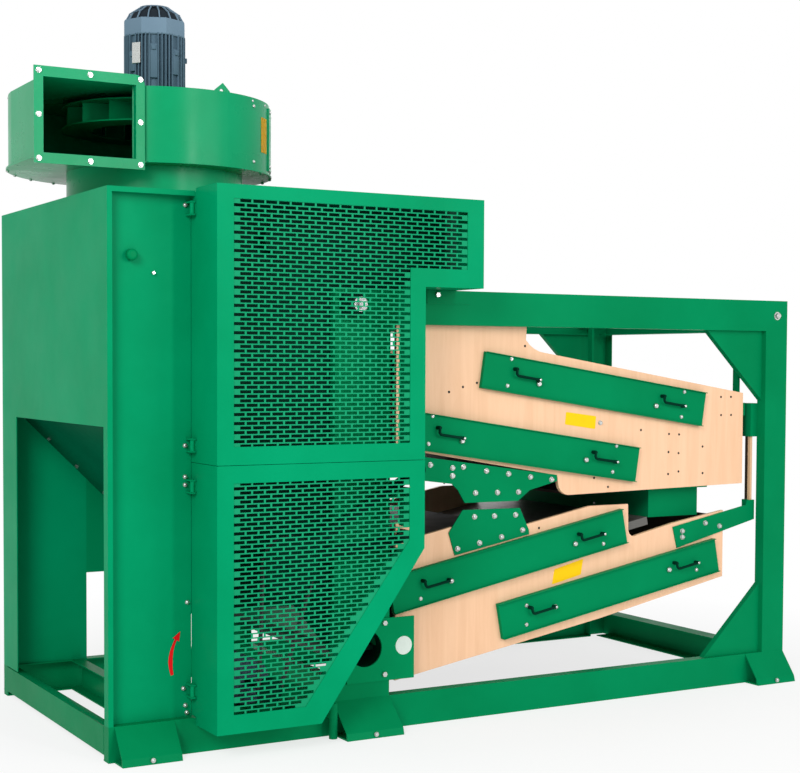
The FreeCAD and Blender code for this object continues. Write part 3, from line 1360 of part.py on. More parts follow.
lower_left_ear = clamp(lower_left_leaf_x, inner_leaf_y, lower_left_leaf_bottom + ear_margin,
                       lower_left_leaf_bottom + ear_margin + clamp_height, inner_y)
lower_ear_plate = block(lower_left_leaf_x + leaf_wall + clamp_wall, shoe_left + clamp_height, inner_y,
                        inner_y + bracket_wall, lower_left_leaf_bottom + ear_margin,
                        lower_left_leaf_bottom + ear_margin + clamp_height)
lower_right_ear = clamp(lower_right_leaf_x, arm_leaf_y, 765, 857, side_y)
add("lower_brackets", *both_sides([union([lower_left_ear, lower_ear_plate]), lower_right_ear]))

for name, shapes in nodes.items():
    moved = Part.makeCompound(shapes) if len(shapes) > 1 else shapes[0].copy()
    moved.translate(-origin)
    moved.exportStep("parts/" + name + ".step")
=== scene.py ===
import math
import bpy
import bmesh
from mathutils import Matrix, Vector


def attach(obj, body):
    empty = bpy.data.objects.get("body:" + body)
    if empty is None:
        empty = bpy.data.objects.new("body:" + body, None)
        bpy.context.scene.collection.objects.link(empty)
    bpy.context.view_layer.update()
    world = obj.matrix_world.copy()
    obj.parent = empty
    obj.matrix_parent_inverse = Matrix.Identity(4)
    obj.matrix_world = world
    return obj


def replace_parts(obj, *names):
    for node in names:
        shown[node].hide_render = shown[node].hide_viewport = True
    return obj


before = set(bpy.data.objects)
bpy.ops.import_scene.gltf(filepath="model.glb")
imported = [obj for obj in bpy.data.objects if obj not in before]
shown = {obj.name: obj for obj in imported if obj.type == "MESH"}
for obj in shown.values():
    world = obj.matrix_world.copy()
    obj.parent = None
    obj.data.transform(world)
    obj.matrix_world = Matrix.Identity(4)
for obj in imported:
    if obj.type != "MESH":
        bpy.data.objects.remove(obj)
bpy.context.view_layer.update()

# Pieces are drawn in millimetres from the machine's front left corner at the floor,
# and put_on moves them to metres round the middle of the anchor holes.
MM = 0.001
ANCHOR_MIDDLE = Vector((1691.75, 705.0, 0.0))
DEPTH = 1410.0
SHARP = math.radians(32)
MERGE = 0.001
FORWARD = (0, -1, 0)
UP = (0, 0, 1)

# Camera, light and floor
CAMERA_SPOT = (-3.61085, -6.2537, 1.4986)
CAMERA_YAW = -29.694
CAMERA_PITCH = -2.283
CAMERA_ROLL = 0.258
LENS = 70.30
LENS_SHIFT = 0.0486
ROOM_GLOW = 0.52
PAPER_GLOW = 1.0
LAMPS = (
    ("key", (-6.7, -5.8, 5.0), (-0.2, -0.4, 1.1), (3.0, 3.0), 400),
    ("fill", (3.5, -7.5, 3.0), (0.4, -0.4, 0.9), (3.0, 2.4), 120),
    ("strip", (0.25, -6.3, 3.2), (-1.24, 0.0, 2.4), (0.35, 2.2), 80),
    ("back", (2.0, 6.5, 4.5), (0.2, 0.2, 1.0), (4.0, 3.0), 60),
)
FLOOR_RADIUS = 40
FADE_START = 1.2
FADE_END = 3.4
FADE_LEAST = 0.72


def set_camera():
    data = bpy.data.cameras.new("camera")
    data.sensor_width = 36
    data.lens = LENS
    data.shift_y = LENS_SHIFT
    data.clip_end = 100
    camera = bpy.data.objects.new("camera", data)
    turn = Matrix.Rotation(math.radians(CAMERA_YAW), 4, "Z")
    tilt = Matrix.Rotation(math.radians(90 + CAMERA_PITCH), 4, "X")
    roll = Matrix.Rotation(math.radians(CAMERA_ROLL), 4, "Z")
    camera.matrix_world = Matrix.Translation(CAMERA_SPOT) @ turn @ tilt @ roll
    bpy.context.scene.collection.objects.link(camera)
    bpy.context.scene.camera = camera


def soft_lamp(name, spot, target, size, watts):
    data = bpy.data.lights.new(name, "AREA")
    data.shape = "RECTANGLE"
    data.size = size[0]
    data.size_y = size[1]
    data.energy = watts
    lamp = bpy.data.objects.new(name, data)
    aim = (Vector(target) - Vector(spot)).to_track_quat("-Z", "Y").to_matrix().to_4x4()
    lamp.matrix_world = Matrix.Translation(spot) @ aim
    bpy.context.scene.collection.objects.link(lamp)


def set_light():
    """White paper to the eye and in reflections, a dimmer room for the rest of the light."""
    world = bpy.data.worlds.new("studio")
    bpy.context.scene.world = world
    world.use_nodes = True
    nodes = world.node_tree.nodes
    links = world.node_tree.links
    nodes.clear()
    rays = nodes.new("ShaderNodeLightPath")
    sees_paper = rays.outputs["Is Camera Ray"]
    for kind in ("Is Transmission Ray", "Is Glossy Ray"):
        either = nodes.new("ShaderNodeMath")
        either.operation = "MAXIMUM"
        links.new(sees_paper, either.inputs[0])
        links.new(rays.outputs[kind], either.inputs[1])
        sees_paper = either.outputs[0]
    mix = nodes.new("ShaderNodeMixShader")
    links.new(sees_paper, mix.inputs["Fac"])
    for socket, strength in ((mix.inputs[1], ROOM_GLOW), (mix.inputs[2], PAPER_GLOW)):
        background = nodes.new("ShaderNodeBackground")
        background.inputs["Color"].default_value = (1, 1, 1, 1)
        background.inputs["Strength"].default_value = strength
        links.new(background.outputs[0], socket)
    out = nodes.new("ShaderNodeOutputWorld")
    links.new(mix.outputs[0], out.inputs["Surface"])
    bpy.context.scene.view_settings.view_transform = "Standard"
    for lamp in LAMPS:
        soft_lamp(*lamp)


def set_floor():
    """Paper that takes the machine's shadow and fades to white away from it."""
    bm = bmesh.new()
    bmesh.ops.create_circle(bm, cap_ends=True, segments=96, radius=FLOOR_RADIUS)
    mesh = bpy.data.meshes.new("floor")
    bm.to_mesh(mesh)
    bm.free()
    floor = bpy.data.objects.new("floor", mesh)
    bpy.context.scene.collection.objects.link(floor)
    paper = bpy.data.materials.new("floor_paper")
    paper.use_nodes = True
    nodes = paper.node_tree.nodes
    links = paper.node_tree.links
    nodes.clear()
    spot = nodes.new("ShaderNodeTexCoord")
    reach = nodes.new("ShaderNodeVectorMath")
    reach.operation = "LENGTH"
    fade = nodes.new("ShaderNodeMapRange")
    fade.inputs["From Min"].default_value = FADE_START
    fade.inputs["From Max"].default_value = FADE_END
    fade.inputs["To Min"].default_value = FADE_LEAST
    matt = nodes.new("ShaderNodeBsdfDiffuse")
    matt.inputs["Color"].default_value = (0.93, 0.935, 0.94, 1)
    glow = nodes.new("ShaderNodeEmission")
    glow.inputs["Strength"].default_value = PAPER_GLOW
    mix = nodes.new("ShaderNodeMixShader")
    out = nodes.new("ShaderNodeOutputMaterial")
    links.new(spot.outputs["Object"], reach.inputs[0])
    links.new(reach.outputs["Value"], fade.inputs["Value"])
    links.new(fade.outputs["Result"], mix.inputs["Fac"])
    links.new(matt.outputs[0], mix.inputs[1])
    links.new(glow.outputs[0], mix.inputs[2])
    links.new(mix.outputs[0], out.inputs["Surface"])
    mesh.materials.append(paper)


set_camera()
set_light()
set_floor()


# Finishes
class Finish:
    """A material with its nodes, links and shader at hand."""

    def __init__(self, name):
        self.material = bpy.data.materials.new(name)
        self.material.use_nodes = True
        self.nodes = self.material.node_tree.nodes
        self.links = self.material.node_tree.links
        self.shader = self.nodes["Principled BSDF"]
        self.spot = self.nodes.new("ShaderNodeTexCoord")

    def new(self, kind, **settings):
        node = self.nodes.new(kind)
        for key, value in settings.items():
            setattr(node, key, value)
        return node

    def join(self, a, b):
        self.links.new(a, b)

    def feed(self, socket, value):
        """Sets a socket to a number or a colour, or joins another node's output to it."""
        if isinstance(value, (int, float)):
            socket.default_value = value
        elif isinstance(value, tuple):
            socket.default_value = (*value, 1)
        else:
            self.join(value, socket)

    def maths(self, operation, *values):
        node = self.new("ShaderNodeMath", operation=operation)
        for socket, value in zip(node.inputs, values):
            self.feed(socket, value)
        return node.outputs[0]

    def part_of(self, vector, axis):
        node = self.new("ShaderNodeSeparateXYZ")
        self.join(vector, node.inputs[0])
        return node.outputs[axis]

    def stretched(self, scale):
        """Object coordinates, scaled along each axis."""
        node = self.new("ShaderNodeMapping")
        node.inputs["Scale"].default_value = scale
        self.join(self.spot.outputs["Object"], node.inputs["Vector"])
        return node.outputs["Vector"]

    def clouds(self, scale, detail=3.0, stretch=(1, 1, 1), rough=0.5, twist=0.0):
        node = self.new("ShaderNodeTexNoise")
        node.inputs["Scale"].default_value = scale
        node.inputs["Detail"].default_value = detail
        node.inputs["Roughness"].default_value = rough
        node.inputs["Distortion"].default_value = twist
        self.join(self.stretched(stretch), node.inputs["Vector"])
        return node.outputs["Fac"]

    def ramp(self, value, stops):
        node = self.new("ShaderNodeValToRGB")
        marks = node.color_ramp.elements
        for i, (position, colour) in enumerate(stops):
            mark = marks[i] if i < 2 else marks.new(position)
            mark.position = position
            mark.color = (*colour, 1)
        self.join(value, node.inputs["Fac"])
        return node.outputs["Color"]

    def span(self, value, low, high, start=0.0, end=1.0):
        """Maps start to end onto low to high."""
        node = self.new("ShaderNodeMapRange")
        node.inputs["From Min"].default_value = start
        node.inputs["From Max"].default_value = end
        node.inputs["To Min"].default_value = low
        node.inputs["To Max"].default_value = high
        self.join(value, node.inputs["Value"])
        return node.outputs["Result"]

    def blend(self, share, first, second):
        node = self.new("ShaderNodeMix", data_type="RGBA", blend_type="MIX")
        for number, value in ((0, share), (6, first), (7, second)):
            self.feed(node.inputs[number], value)
        return node.outputs[2]

    def relief(self, height, strength, depth, under=None):
        node = self.new("ShaderNodeBump")
        node.inputs["Strength"].default_value = strength
        node.inputs["Distance"].default_value = depth
        self.join(height, node.inputs["Height"])
        if under is not None:
            self.join(under, node.inputs["Normal"])
        return node.outputs["Normal"]

    def coat(self, colour, rough, normal, metal=0.0):
        self.shader.inputs["Metallic"].default_value = metal
        for name, value in (("Base Color", colour), ("Roughness", rough), ("Normal", normal)):
            self.feed(self.shader.inputs[name], value)
        return self.material


def tinted(colour, share, lift=0.0):
    """A colour made darker or lighter, none of its parts above full."""
    return tuple(min(1, c * share + lift) for c in colour)


def enamel(name, deep, full, gloss=(0.30, 0.42), shine=0.02, behind=None, limit=0.0):
    """Sprayed machine enamel: slow tone changes, orange peel, dulled and dusty patches.

    Past limit, in metres from front to back, it takes the colour given as behind; this paints shade on the
    near or the far side of that depth.
    """
    f = Finish(name)
    tone = f.ramp(f.clouds(1.7, 4), [(0.3, deep), (0.7, full)])
    dust = f.span(f.clouds(9, 6, rough=0.65), 0.0, 0.10, 0.45, 0.8)
    dusty = f.blend(dust, tone, tinted(full, 1.35, 0.004))
    specks = f.span(f.clouds(160, 2), 0.0, 0.25, 0.70, 0.82)
    worn_and_shaded = f.blend(specks, dusty, tinted(deep, 0.55))
    peel = f.clouds(420, 2)
    waves = f.clouds(16, 2)
    normal = f.relief(peel, 0.10, 0.0006, f.relief(waves, 0.05, 0.004))
    rough = f.span(f.clouds(5, 5, rough=0.6), gloss[0], gloss[1], 0.3, 0.7)
    f.shader.inputs["Specular IOR Level"].default_value = shine
    # Painted shade: on one side of limit the colour stands for shade, on the other it is plain enamel.
    if behind is not None:
        far = f.maths("GREATER_THAN", f.part_of(f.spot.outputs["Object"], "Y"), limit)
        worn_and_shaded = f.blend(far, worn_and_shaded, behind)
    return f.coat(worn_and_shaded, rough, normal)


def birch_plywood():
    """Lacquered birch: upright figure on the faces, ply lines on the boards' edges, and painted shade,
    near-black, on the faces inside the shoes.
    """
    ply_pair = 0.0036
    side_boards_from = 0.623
    shade_painted_within = 0.6245
    f = Finish("birch_plywood")
    figure = f.clouds(1.0, 6, (26, 26, 1.6), 0.62, 0.9)
    broad = f.clouds(1.0, 3, (2.6, 2.6, 0.9), 0.5, 1.4)
    pores = f.clouds(1.0, 3, (260, 260, 40), 0.6)
    pale = (0.83, 0.52, 0.325)
    warm = (0.735, 0.43, 0.25)
    face = f.blend(f.span(figure, 0.0, 0.8, 0.35, 0.75), pale, warm)
    face = f.blend(f.span(broad, 0.0, 0.4, 0.45, 0.8), face, (0.86, 0.575, 0.385))
    face = f.blend(f.span(pores, 0.0, 0.35, 0.66, 0.8), face, (0.50, 0.295, 0.15))
    across = f.part_of(f.spot.outputs["Object"], "Y")
    plies = f.maths("SINE", f.maths("MULTIPLY", across, 2 * math.pi / ply_pair))
    edge = f.ramp(f.span(plies, 0, 1, -1, 1), [(0.35, (0.60, 0.36, 0.19)), (0.65, (0.88, 0.61, 0.37))])
    facing = f.maths("ABSOLUTE", f.part_of(f.spot.outputs["Normal"], "Y"))
    outboard = f.maths("ABSOLUTE", across)
    on_edge = f.maths("MULTIPLY", f.maths("GREATER_THAN", outboard, side_boards_from),
                      f.maths("LESS_THAN", facing, 0.5))
    colour = f.blend(on_edge, face, edge)
    # Painted shade: faces between the side boards, inside the shoes, turn near-black.
    colour = f.blend(f.maths("LESS_THAN", outboard, shade_painted_within), colour, (0.035, 0.022, 0.014))
    normal = f.relief(figure, 0.06, 0.0008, f.relief(pores, 0.05, 0.0004))
    f.shader.inputs["Specular IOR Level"].default_value = 0.25
    return f.coat(colour, f.span(broad, 0.42, 0.55, 0.3, 0.7), normal)


def plated(name, colour, rough):
    """Zinc plating: a bright metal with a faint crystalline mottle."""
    f = Finish(name)
    mottle = f.clouds(240, 3)
    tone = f.ramp(mottle, [(0.3, tinted(colour, 0.82)), (0.7, colour)])
    dulled = f.span(mottle, rough * 0.8, rough * 1.3, 0.3, 0.7)
    return f.coat(tone, dulled, f.relief(mottle, 0.08, 0.0004), 0.85)


def drawn_steel(name, colour, along):
    """Bare steel with fine marks along its length."""
    f = Finish(name)
    marks = f.clouds(1.0, 3, along, 0.7)
    tone = f.ramp(marks, [(0.3, tinted(colour, 0.7)), (0.7, colour)])
    return f.coat(tone, f.span(marks, 0.3, 0.5, 0.3, 0.7), f.relief(marks, 0.1, 0.0004), 0.9)


def moulded(name, colour, rough=0.45, grain=600):
    """Plastic or rubber with a fine moulded grain and scuffs."""
    f = Finish(name)
    scuffs = f.clouds(60, 5, rough=0.7)
    tone = f.blend(f.span(scuffs, 0.0, 0.35, 0.55, 0.8), colour, tinted(colour, 1.8, 0.02))
    dulled = f.span(scuffs, rough * 0.85, rough * 1.2, 0.3, 0.7)
    return f.coat(tone, dulled, f.relief(f.clouds(grain, 2), 0.12, 0.0004))


def printed(name, colour):
    """Self-adhesive film, slightly rubbed."""
    f = Finish(name)
    rub = f.clouds(45, 5, rough=0.7)
    tone = f.blend(f.span(rub, 0.0, 0.30, 0.5, 0.8), colour, tinted(colour, 0.82))
    f.shader.inputs["Specular IOR Level"].default_value = 0.1
    return f.coat(tone, f.span(rub, 0.28, 0.42, 0.3, 0.7), f.relief(f.clouds(90, 2), 0.04, 0.0004))


def perforated_sheet():
    """Screen sheet seen from far off: rows of round holes painted near-black as the shade seen through
    them, in dusty steel.
    """
    f = Finish("screen_sheet")
    cells = f.new("ShaderNodeTexVoronoi", feature="F1")
    cells.inputs["Scale"].default_value = 1.0
    cells.inputs["Randomness"].default_value = 0.0
    f.join(f.stretched((110, 110, 110)), cells.inputs["Vector"])
    distance = cells.outputs["Distance"]
    # Painted shade: the holes are near-black colour, not openings.
    hole_shade = f.ramp(distance, [(0.30, (0.006, 0.006, 0.006)), (0.36, (0.10, 0.10, 0.095))])
    wear = f.clouds(7, 4)
    tone = f.blend(f.span(wear, 0.0, 0.4), hole_shade, (0.07, 0.055, 0.04))
    return f.coat(tone, f.span(wear, 0.3, 0.5), f.relief(distance, 0.3, 0.002))


GREEN = enamel("green_enamel", (0.0, 0.242, 0.094), (0.0, 0.293, 0.123))
# Darker copy of the same green enamel: painted shade for the frame and the parts that sit darker than the
# walls.
FRAME_GREEN = enamel("green_enamel_frame", (0.0, 0.185, 0.063), (0.0, 0.225, 0.081))
GREEN_SHEET = enamel("green_enamel_pressed_sheet", (0.005, 0.248, 0.106), (0.010, 0.294, 0.133),
                     (0.34, 0.46))
FAN_GREEN = enamel("green_enamel_fan", (0.0, 0.265, 0.10), (0.0, 0.325, 0.135), (0.24, 0.34), 0.12)
# Painted shade: the chamber sides and feed box turn near-black at their front, behind the guards, and are
# plain green further back.
SIDE_GREEN = enamel("green_enamel_chamber", (0.0, 0.026, 0.014), (0.001, 0.040, 0.021),
                    behind=(0.0, 0.225, 0.085), limit=-0.657)
# Painted shade: the trough is plain green at its front end plate and near-black further in, inside the
# bore.
TROUGH_GREEN = enamel("green_enamel_trough", (0.0, 0.205, 0.070), (0.0, 0.25, 0.09),
                      behind=(0.001, 0.022, 0.012), limit=-0.703)
SHADED_GREEN = enamel("green_enamel_underside", (0.0, 0.075, 0.034), (0.0, 0.105, 0.048))
DARK_GREEN = enamel("green_enamel_dark", (0.0, 0.022, 0.012), (0.001, 0.034, 0.018))
PLYWOOD = birch_plywood()
SLATE = enamel("slate_enamel", (0.070, 0.125, 0.165), (0.095, 0.155, 0.205), (0.36, 0.5))
SLATE_PALE = enamel("slate_enamel_cowl", (0.125, 0.195, 0.26), (0.155, 0.235, 0.305), (0.34, 0.46))
# Near-black copy of the slate enamel: painted shade on the dome inside the hood.
SLATE_DARK = enamel("slate_enamel_inside", (0.014, 0.019, 0.026), (0.02, 0.028, 0.036), (0.5, 0.6))
ZINC = plated("zinc_plating", (0.60, 0.62, 0.60), 0.26)
STEEL = drawn_steel("bare_steel", (0.50, 0.51, 0.51), (30, 2, 30))
RUBBER = moulded("belt_rubber", (0.018, 0.018, 0.019), 0.7, 300)
HOLE = moulded("hole_shadow", (0.008, 0.007, 0.006), 0.8)
YELLOW = printed("yellow_film", (0.93, 0.56, 0.004))
AMBER = printed("amber_film", (1.0, 0.60, 0.006))
RED = printed("red_film", (0.72, 0.008, 0.01))
PALE = printed("pale_film", (0.66, 0.74, 0.68))
SCREEN_SHEET = perforated_sheet()


def refinish(material, *names):
    """Gives carried-over pieces their finish."""
    for name in names:
        slots = shown[name].data.materials
        if len(slots) == 0:
            slots.append(material)
        for i in range(len(slots)):
            slots[i] = material


refinish(GREEN, *shown)
refinish(FRAME_GREEN, "base_frame", "top_frame", "right_posts", "middle_columns", "gussets", "feet",
         "frame_hangers", "upper_brackets", "lower_brackets", "rear_guard", "upper_right_leaves",
         "gearmotors", "air_valve")
refinish(DARK_GREEN, "drive_bearings", "upper_rods", "lower_rods", "eccentric_shaft", "motor_pulley")
refinish(SIDE_GREEN, "chamber_sides", "feed_box")
refinish(TROUGH_GREEN, "auger_trough")
refinish(FAN_GREEN, "fan_scroll", "fan_bottom", "fan_top", "outlet_flange", "chamber_top")
refinish(SHADED_GREEN, "hopper_floor")
refinish(PLYWOOD, "upper_shoe", "lower_shoe", "upper_left_leaves", "lower_left_leaves",
         "lower_right_leaves")
refinish(ZINC, "frame_bolts", "upper_shoe_bolts", "lower_shoe_bolts")
refinish(STEEL, "cross_auger", "feed_roller")
refinish(RUBBER, "drive_belt")
refinish(SLATE, "drive_motor")
refinish(SCREEN_SHEET, "upper_screens", "lower_screens")


# Making of pieces
def put_on(bm, name, body, material):
    """Moves a drawing in millimetres to its place, finishes it and lets it ride on a body."""
    bmesh.ops.recalc_face_normals(bm, faces=bm.faces)
    bmesh.ops.translate(bm, verts=bm.verts, vec=-ANCHOR_MIDDLE)
    bmesh.ops.scale(bm, verts=bm.verts, vec=(MM, MM, MM))
    for face in bm.faces:
        face.smooth = True
    for edge in bm.edges:
        if len(edge.link_faces) != 2 or edge.calc_face_angle(0) > SHARP:
            edge.smooth = False
    mesh = bpy.data.meshes.new(name)
    bm.to_mesh(mesh)
    bm.free()
    mesh.materials.append(material)
    thing = bpy.data.objects.new(name, mesh)
    bpy.context.scene.collection.objects.link(thing)
    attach(thing, body)
    return thing


def added(bm, before):
    """Corners that a drawing has gained."""
    return [v for v in bm.verts if v not in before]


def verts_of(geometry):
    return [g for g in geometry if isinstance(g, bmesh.types.BMVert)]


def frame_of(normal, spin=0.0):
    """Turn that stands +Z along a direction."""
    upright = Vector(normal).to_track_quat("Z", "Y").to_matrix().to_4x4()
    return upright @ Matrix.Rotation(spin, 4, "Z")


def block(bm, low, high, round_off=0.0, steps=2, turn=None):
    """Box between two corners, its edges rounded off."""
    before = set(bm.verts)
    low = Vector(low)
    high = Vector(high)
    verts = bmesh.ops.create_cube(bm, size=1)["verts"]
    bmesh.ops.scale(bm, verts=verts, vec=high - low)
    bmesh.ops.translate(bm, verts=verts, vec=(low + high) / 2)
    if round_off:
        edges = list({e for v in verts for e in v.link_edges})
        bmesh.ops.bevel(bm, geom=edges, offset=round_off, segments=steps, profile=0.5,
                        affect="EDGES", material=-1)
    if turn is not None:
        bmesh.ops.transform(bm, matrix=turn, verts=added(bm, before))


def turned(bm, profile, base, normal, steps=24):
    """Lathe work: (radius, height) pairs spun round an axis through base."""
    before = set(bm.verts)
    verts = [bm.verts.new((radius, 0, height)) for radius, height in profile]
    edges = [bm.edges.new(pair) for pair in zip(verts, verts[1:])]
    bmesh.ops.spin(bm, geom=verts + edges, cent=(0, 0, 0), axis=(0, 0, 1), angle=2 * math.pi,
                   steps=steps, use_merge=True)
    bmesh.ops.remove_doubles(bm, verts=added(bm, before), dist=MERGE)
    stand = Matrix.Translation(base) @ frame_of(normal)
    bmesh.ops.transform(bm, matrix=stand, verts=added(bm, before))


def screw(bm, spot, normal, flats=17.0, head=8.0, washer=12.0, spin=0.3):
    """Hexagon head with a chamfered crown, on its washer where it has one."""
    washer_wall = 2.4
    cones = [(6, flats * 0.577, flats * 0.577, head, head / 2 + 1),
             (12, flats * 0.49, flats * 0.34, head * 0.22, head * 1.11 + 1)]
    if washer:
        cones.insert(0, (16, washer, washer * 0.96, washer_wall, washer_wall / 2))
    stand = Matrix.Translation(spot) @ frame_of(normal, spin)
    for sides, low_radius, high_radius, depth, middle in cones:
        cone = bmesh.ops.create_cone(bm, cap_ends=True, segments=sides, radius1=low_radius,
                                     radius2=high_radius, depth=depth)
        bmesh.ops.transform(bm, matrix=stand @ Matrix.Translation((0, 0, middle)), verts=cone["verts"])


def button(bm, spot, normal, radius=9.0, height=5.0, steps=16):
    """Low domed head."""
    profile = [(0, height), (radius * 0.45, height * 0.9), (radius * 0.8, height * 0.55), (radius, 0),
               (0, 0)]
    turned(bm, profile, spot, normal, steps)


# Guards: slotted sheets with staggered rows
SLOT_LENGTH = 45.0
SLOT_HEIGHT = 12.0
SLOT_PITCH = 52.7
ROW_PITCH = 16.87
SHEET_BACK = -206.0
SHEET_FRONT = -208.0
FIELD_LEFT = 415.5
FIELD_RIGHT = 1175.0
SHEET_LEFT = 401.0
SHEET_RIGHT = 1185.0
ARM_RIGHT = 1449.0
ARM_LOW = 1860.0
CORNER_CUT = (722.5, 166.0)
CORNER_SLOPE = (618.0, -457.0)


def slotted_sheet(name, cad_node, body, low, high, first_row, rows, is_open, is_outside, cuts):
    """Flat sheet cut along every slot edge; faces in open slots and outside its outline go."""
    bm = bmesh.new()
    bmesh.ops.create_grid(bm, x_segments=1, y_segments=1, size=0.5)
    width = high[0] - low[0]
    height = high[1] - low[1]
    middle = (low[0] + width / 2, low[1] + height / 2, 0)
    bmesh.ops.scale(bm, verts=bm.verts, vec=(width, height, 1))
    bmesh.ops.translate(bm, verts=bm.verts, vec=middle)

    def cut(point, normal):
        bmesh.ops.bisect_plane(bm, geom=bm.verts[:] + bm.edges[:] + bm.faces[:], plane_co=point,
                               plane_no=normal, dist=0.0001)

    for i in range(int(width / SLOT_PITCH) + 1):
        for shift in (0.0, SLOT_PITCH / 2):
            for end in (0.0, SLOT_LENGTH):
                cut((FIELD_LEFT + shift + i * SLOT_PITCH + end, 0, 0), (1, 0, 0))
    for row in range(rows):
        for side in (-1, 1):
            cut((0, first_row - row * ROW_PITCH + side * SLOT_HEIGHT / 2, 0), (0, 1, 0))
    for point, normal in cuts:
        cut((*point, 0), (*normal, 0))

    def slot_at(x, z):
        """Left end and height of the slot at a spot, or nothing."""
        row = round((first_row - z) / ROW_PITCH)
        row_z = first_row - row * ROW_PITCH
        if row < 0 or row >= rows or abs(z - row_z) > SLOT_HEIGHT / 2:
            return None
        shift = SLOT_PITCH / 2 if row % 2 == 0 else 0.0
        i = math.floor((x - FIELD_LEFT - shift) / SLOT_PITCH)
        left = FIELD_LEFT + shift + i * SLOT_PITCH
        if i < 0 or x - left > SLOT_LENGTH:
            return None
        return left, row_z

    gone = []
    for face in bm.faces:
        spot = face.calc_center_median()
        slot = slot_at(spot.x, spot.y)
        if is_outside(spot.x, spot.y) or (slot is not None and is_open(*slot)):
            gone.append(face)
    bmesh.ops.delete(bm, geom=gone, context="FACES")
    bmesh.ops.rotate(bm, verts=bm.verts, matrix=Matrix.Rotation(math.pi / 2, 3, "X"))
    bmesh.ops.translate(bm, verts=bm.verts, vec=(0, SHEET_FRONT, 0))
    bmesh.ops.recalc_face_normals(bm, faces=bm.faces)
    if bm.faces[:][0].normal.y > 0:
        bmesh.ops.reverse_faces(bm, faces=bm.faces)
    bmesh.ops.solidify(bm, geom=bm.faces[:], thickness=SHEET_BACK - SHEET_FRONT)
    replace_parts(put_on(bm, name, body, GREEN_SHEET), cad_node)


def open_in_upper(left, z):
    return left + SLOT_LENGTH < (1438 if z > ARM_LOW + 10 else FIELD_RIGHT)


def outside_upper(x, z):
    return x > SHEET_RIGHT and z < ARM_LOW


def open_in_lower(left, z):
    return left + SLOT_LENGTH < min(FIELD_RIGHT, 722 + (z - 182) * 0.738)


def outside_lower(x, z):
    """Past the line of the cut corner."""
    return (x - CORNER_CUT[0]) * CORNER_SLOPE[0] + (z - CORNER_CUT[1]) * CORNER_SLOPE[1] > 0


slotted_sheet("upper_slotted_sheet", "upper_grille", "upper_guard", (SHEET_LEFT, 1170), (ARM_RIGHT, 2119),
              2097.7, 55, open_in_upper, outside_upper,
              [((SHEET_RIGHT, 0), (1, 0)), ((0, ARM_LOW), (0, 1))])
slotted_sheet("lower_slotted_sheet", "lower_grille", "lower_guard", (SHEET_LEFT, 166), (SHEET_RIGHT, 1062),
              1045.0, 52, open_in_lower, outside_lower, [(CORNER_CUT, CORNER_SLOPE)])


# Fan: screws of the outlet flange, rim and cover, label, motor and wheel
FAN_X = 455.0
FAN_Y = 705.0
SCROLL_LOW = 2285.0
SCROLL_HIGH = 2579.0
SCROLL_LEAST = 445.0
SCROLL_GROWTH = 160.0
TONGUE_X = 218.0
FLANGE_FACE = 284.0
FLANGE_COLUMNS = (-168, 34, 236)
FLANGE_ROWS = (2267, 2432, 2597)
COVER_PLATE_EDGES = (-30.5, -13.5)
LABEL_ANGLES = (-44, -41, -38, -35)
LABEL_HEIGHT = 144
MOTOR_BASE = (FAN_X, FAN_Y, SCROLL_HIGH)
MOTOR_RADIUS = 113
MOTOR_HEIGHT = 278
FIN_GROUPS = 8
FIN_ANGLE = 7.2
HOOD_RIBS = 16
WHEEL_HIGH = 2546.0
WHEEL_LOW = 2456.0
WHEEL_RADIUS = 385
WHEEL_EYE = 260
WHEEL_PLATE = 5
WHEEL_BLADES = 16


def scroll_spot(angle, out, z):
    """Spot outside the fan's scroll, which grows from its tongue round to the outlet."""
    tongue = math.degrees(math.asin((FAN_X - TONGUE_X) / SCROLL_LEAST)) + 90
    radius = SCROLL_LEAST + SCROLL_GROWTH * ((angle + tongue) / (180 + tongue)) ** 1.5
    way = Vector((math.cos(math.radians(angle)), math.sin(math.radians(angle)), 0))
    return Vector((FAN_X, FAN_Y, z)) + way * (radius + out), way


def fan_screws():
    bm = bmesh.new()
    for x in FLANGE_COLUMNS:
        for z in FLANGE_ROWS:
            if x != FLANGE_COLUMNS[1] or z != FLANGE_ROWS[1]:
                screw(bm, (x, FLANGE_FACE, z), FORWARD, 15, 7, 11)
    for angle in range(-60, 180, 15):
        spot, _ = scroll_spot(angle, 9, SCROLL_LOW - 5)
        button(bm, spot, (0, 0, -1), 8, 6)
        spot, way = scroll_spot(angle + 7, 4, SCROLL_HIGH - 14)
        button(bm, spot, way, 6, 4)
    for z in (SCROLL_LOW + 34, SCROLL_HIGH - 34):
        for angle in COVER_PLATE_EDGES:
            spot, way = scroll_spot(angle, 12, z)
            button(bm, spot, way, 8, 6)
        spot, way = scroll_spot(-52, 4, z)
        button(bm, spot, way, 8, 6)
    put_on(bm, "fan_screws", "frame", ZINC)


def fan_label():
    """Plain amber label bent round the fan's cover plate."""
    bm = bmesh.new()
    for angle in LABEL_ANGLES:
        spot, _ = scroll_spot(angle, 5.4, SCROLL_LOW + 82)
        bm.verts.new(spot)
        bm.verts.new(spot + Vector((0, 0, LABEL_HEIGHT)))
    verts = bm.verts[:]
    for i in range(0, len(verts) - 2, 2):
        bm.faces.new((verts[i], verts[i + 2], verts[i + 3], verts[i + 1]))
    bmesh.ops.solidify(bm, geom=bm.faces[:], thickness=-0.5)
    put_on(bm, "fan_label", "frame", AMBER)


def motor_turn(angle):
    return Matrix.Translation(MOTOR_BASE) @ Matrix.Rotation(angle, 4, "Z")


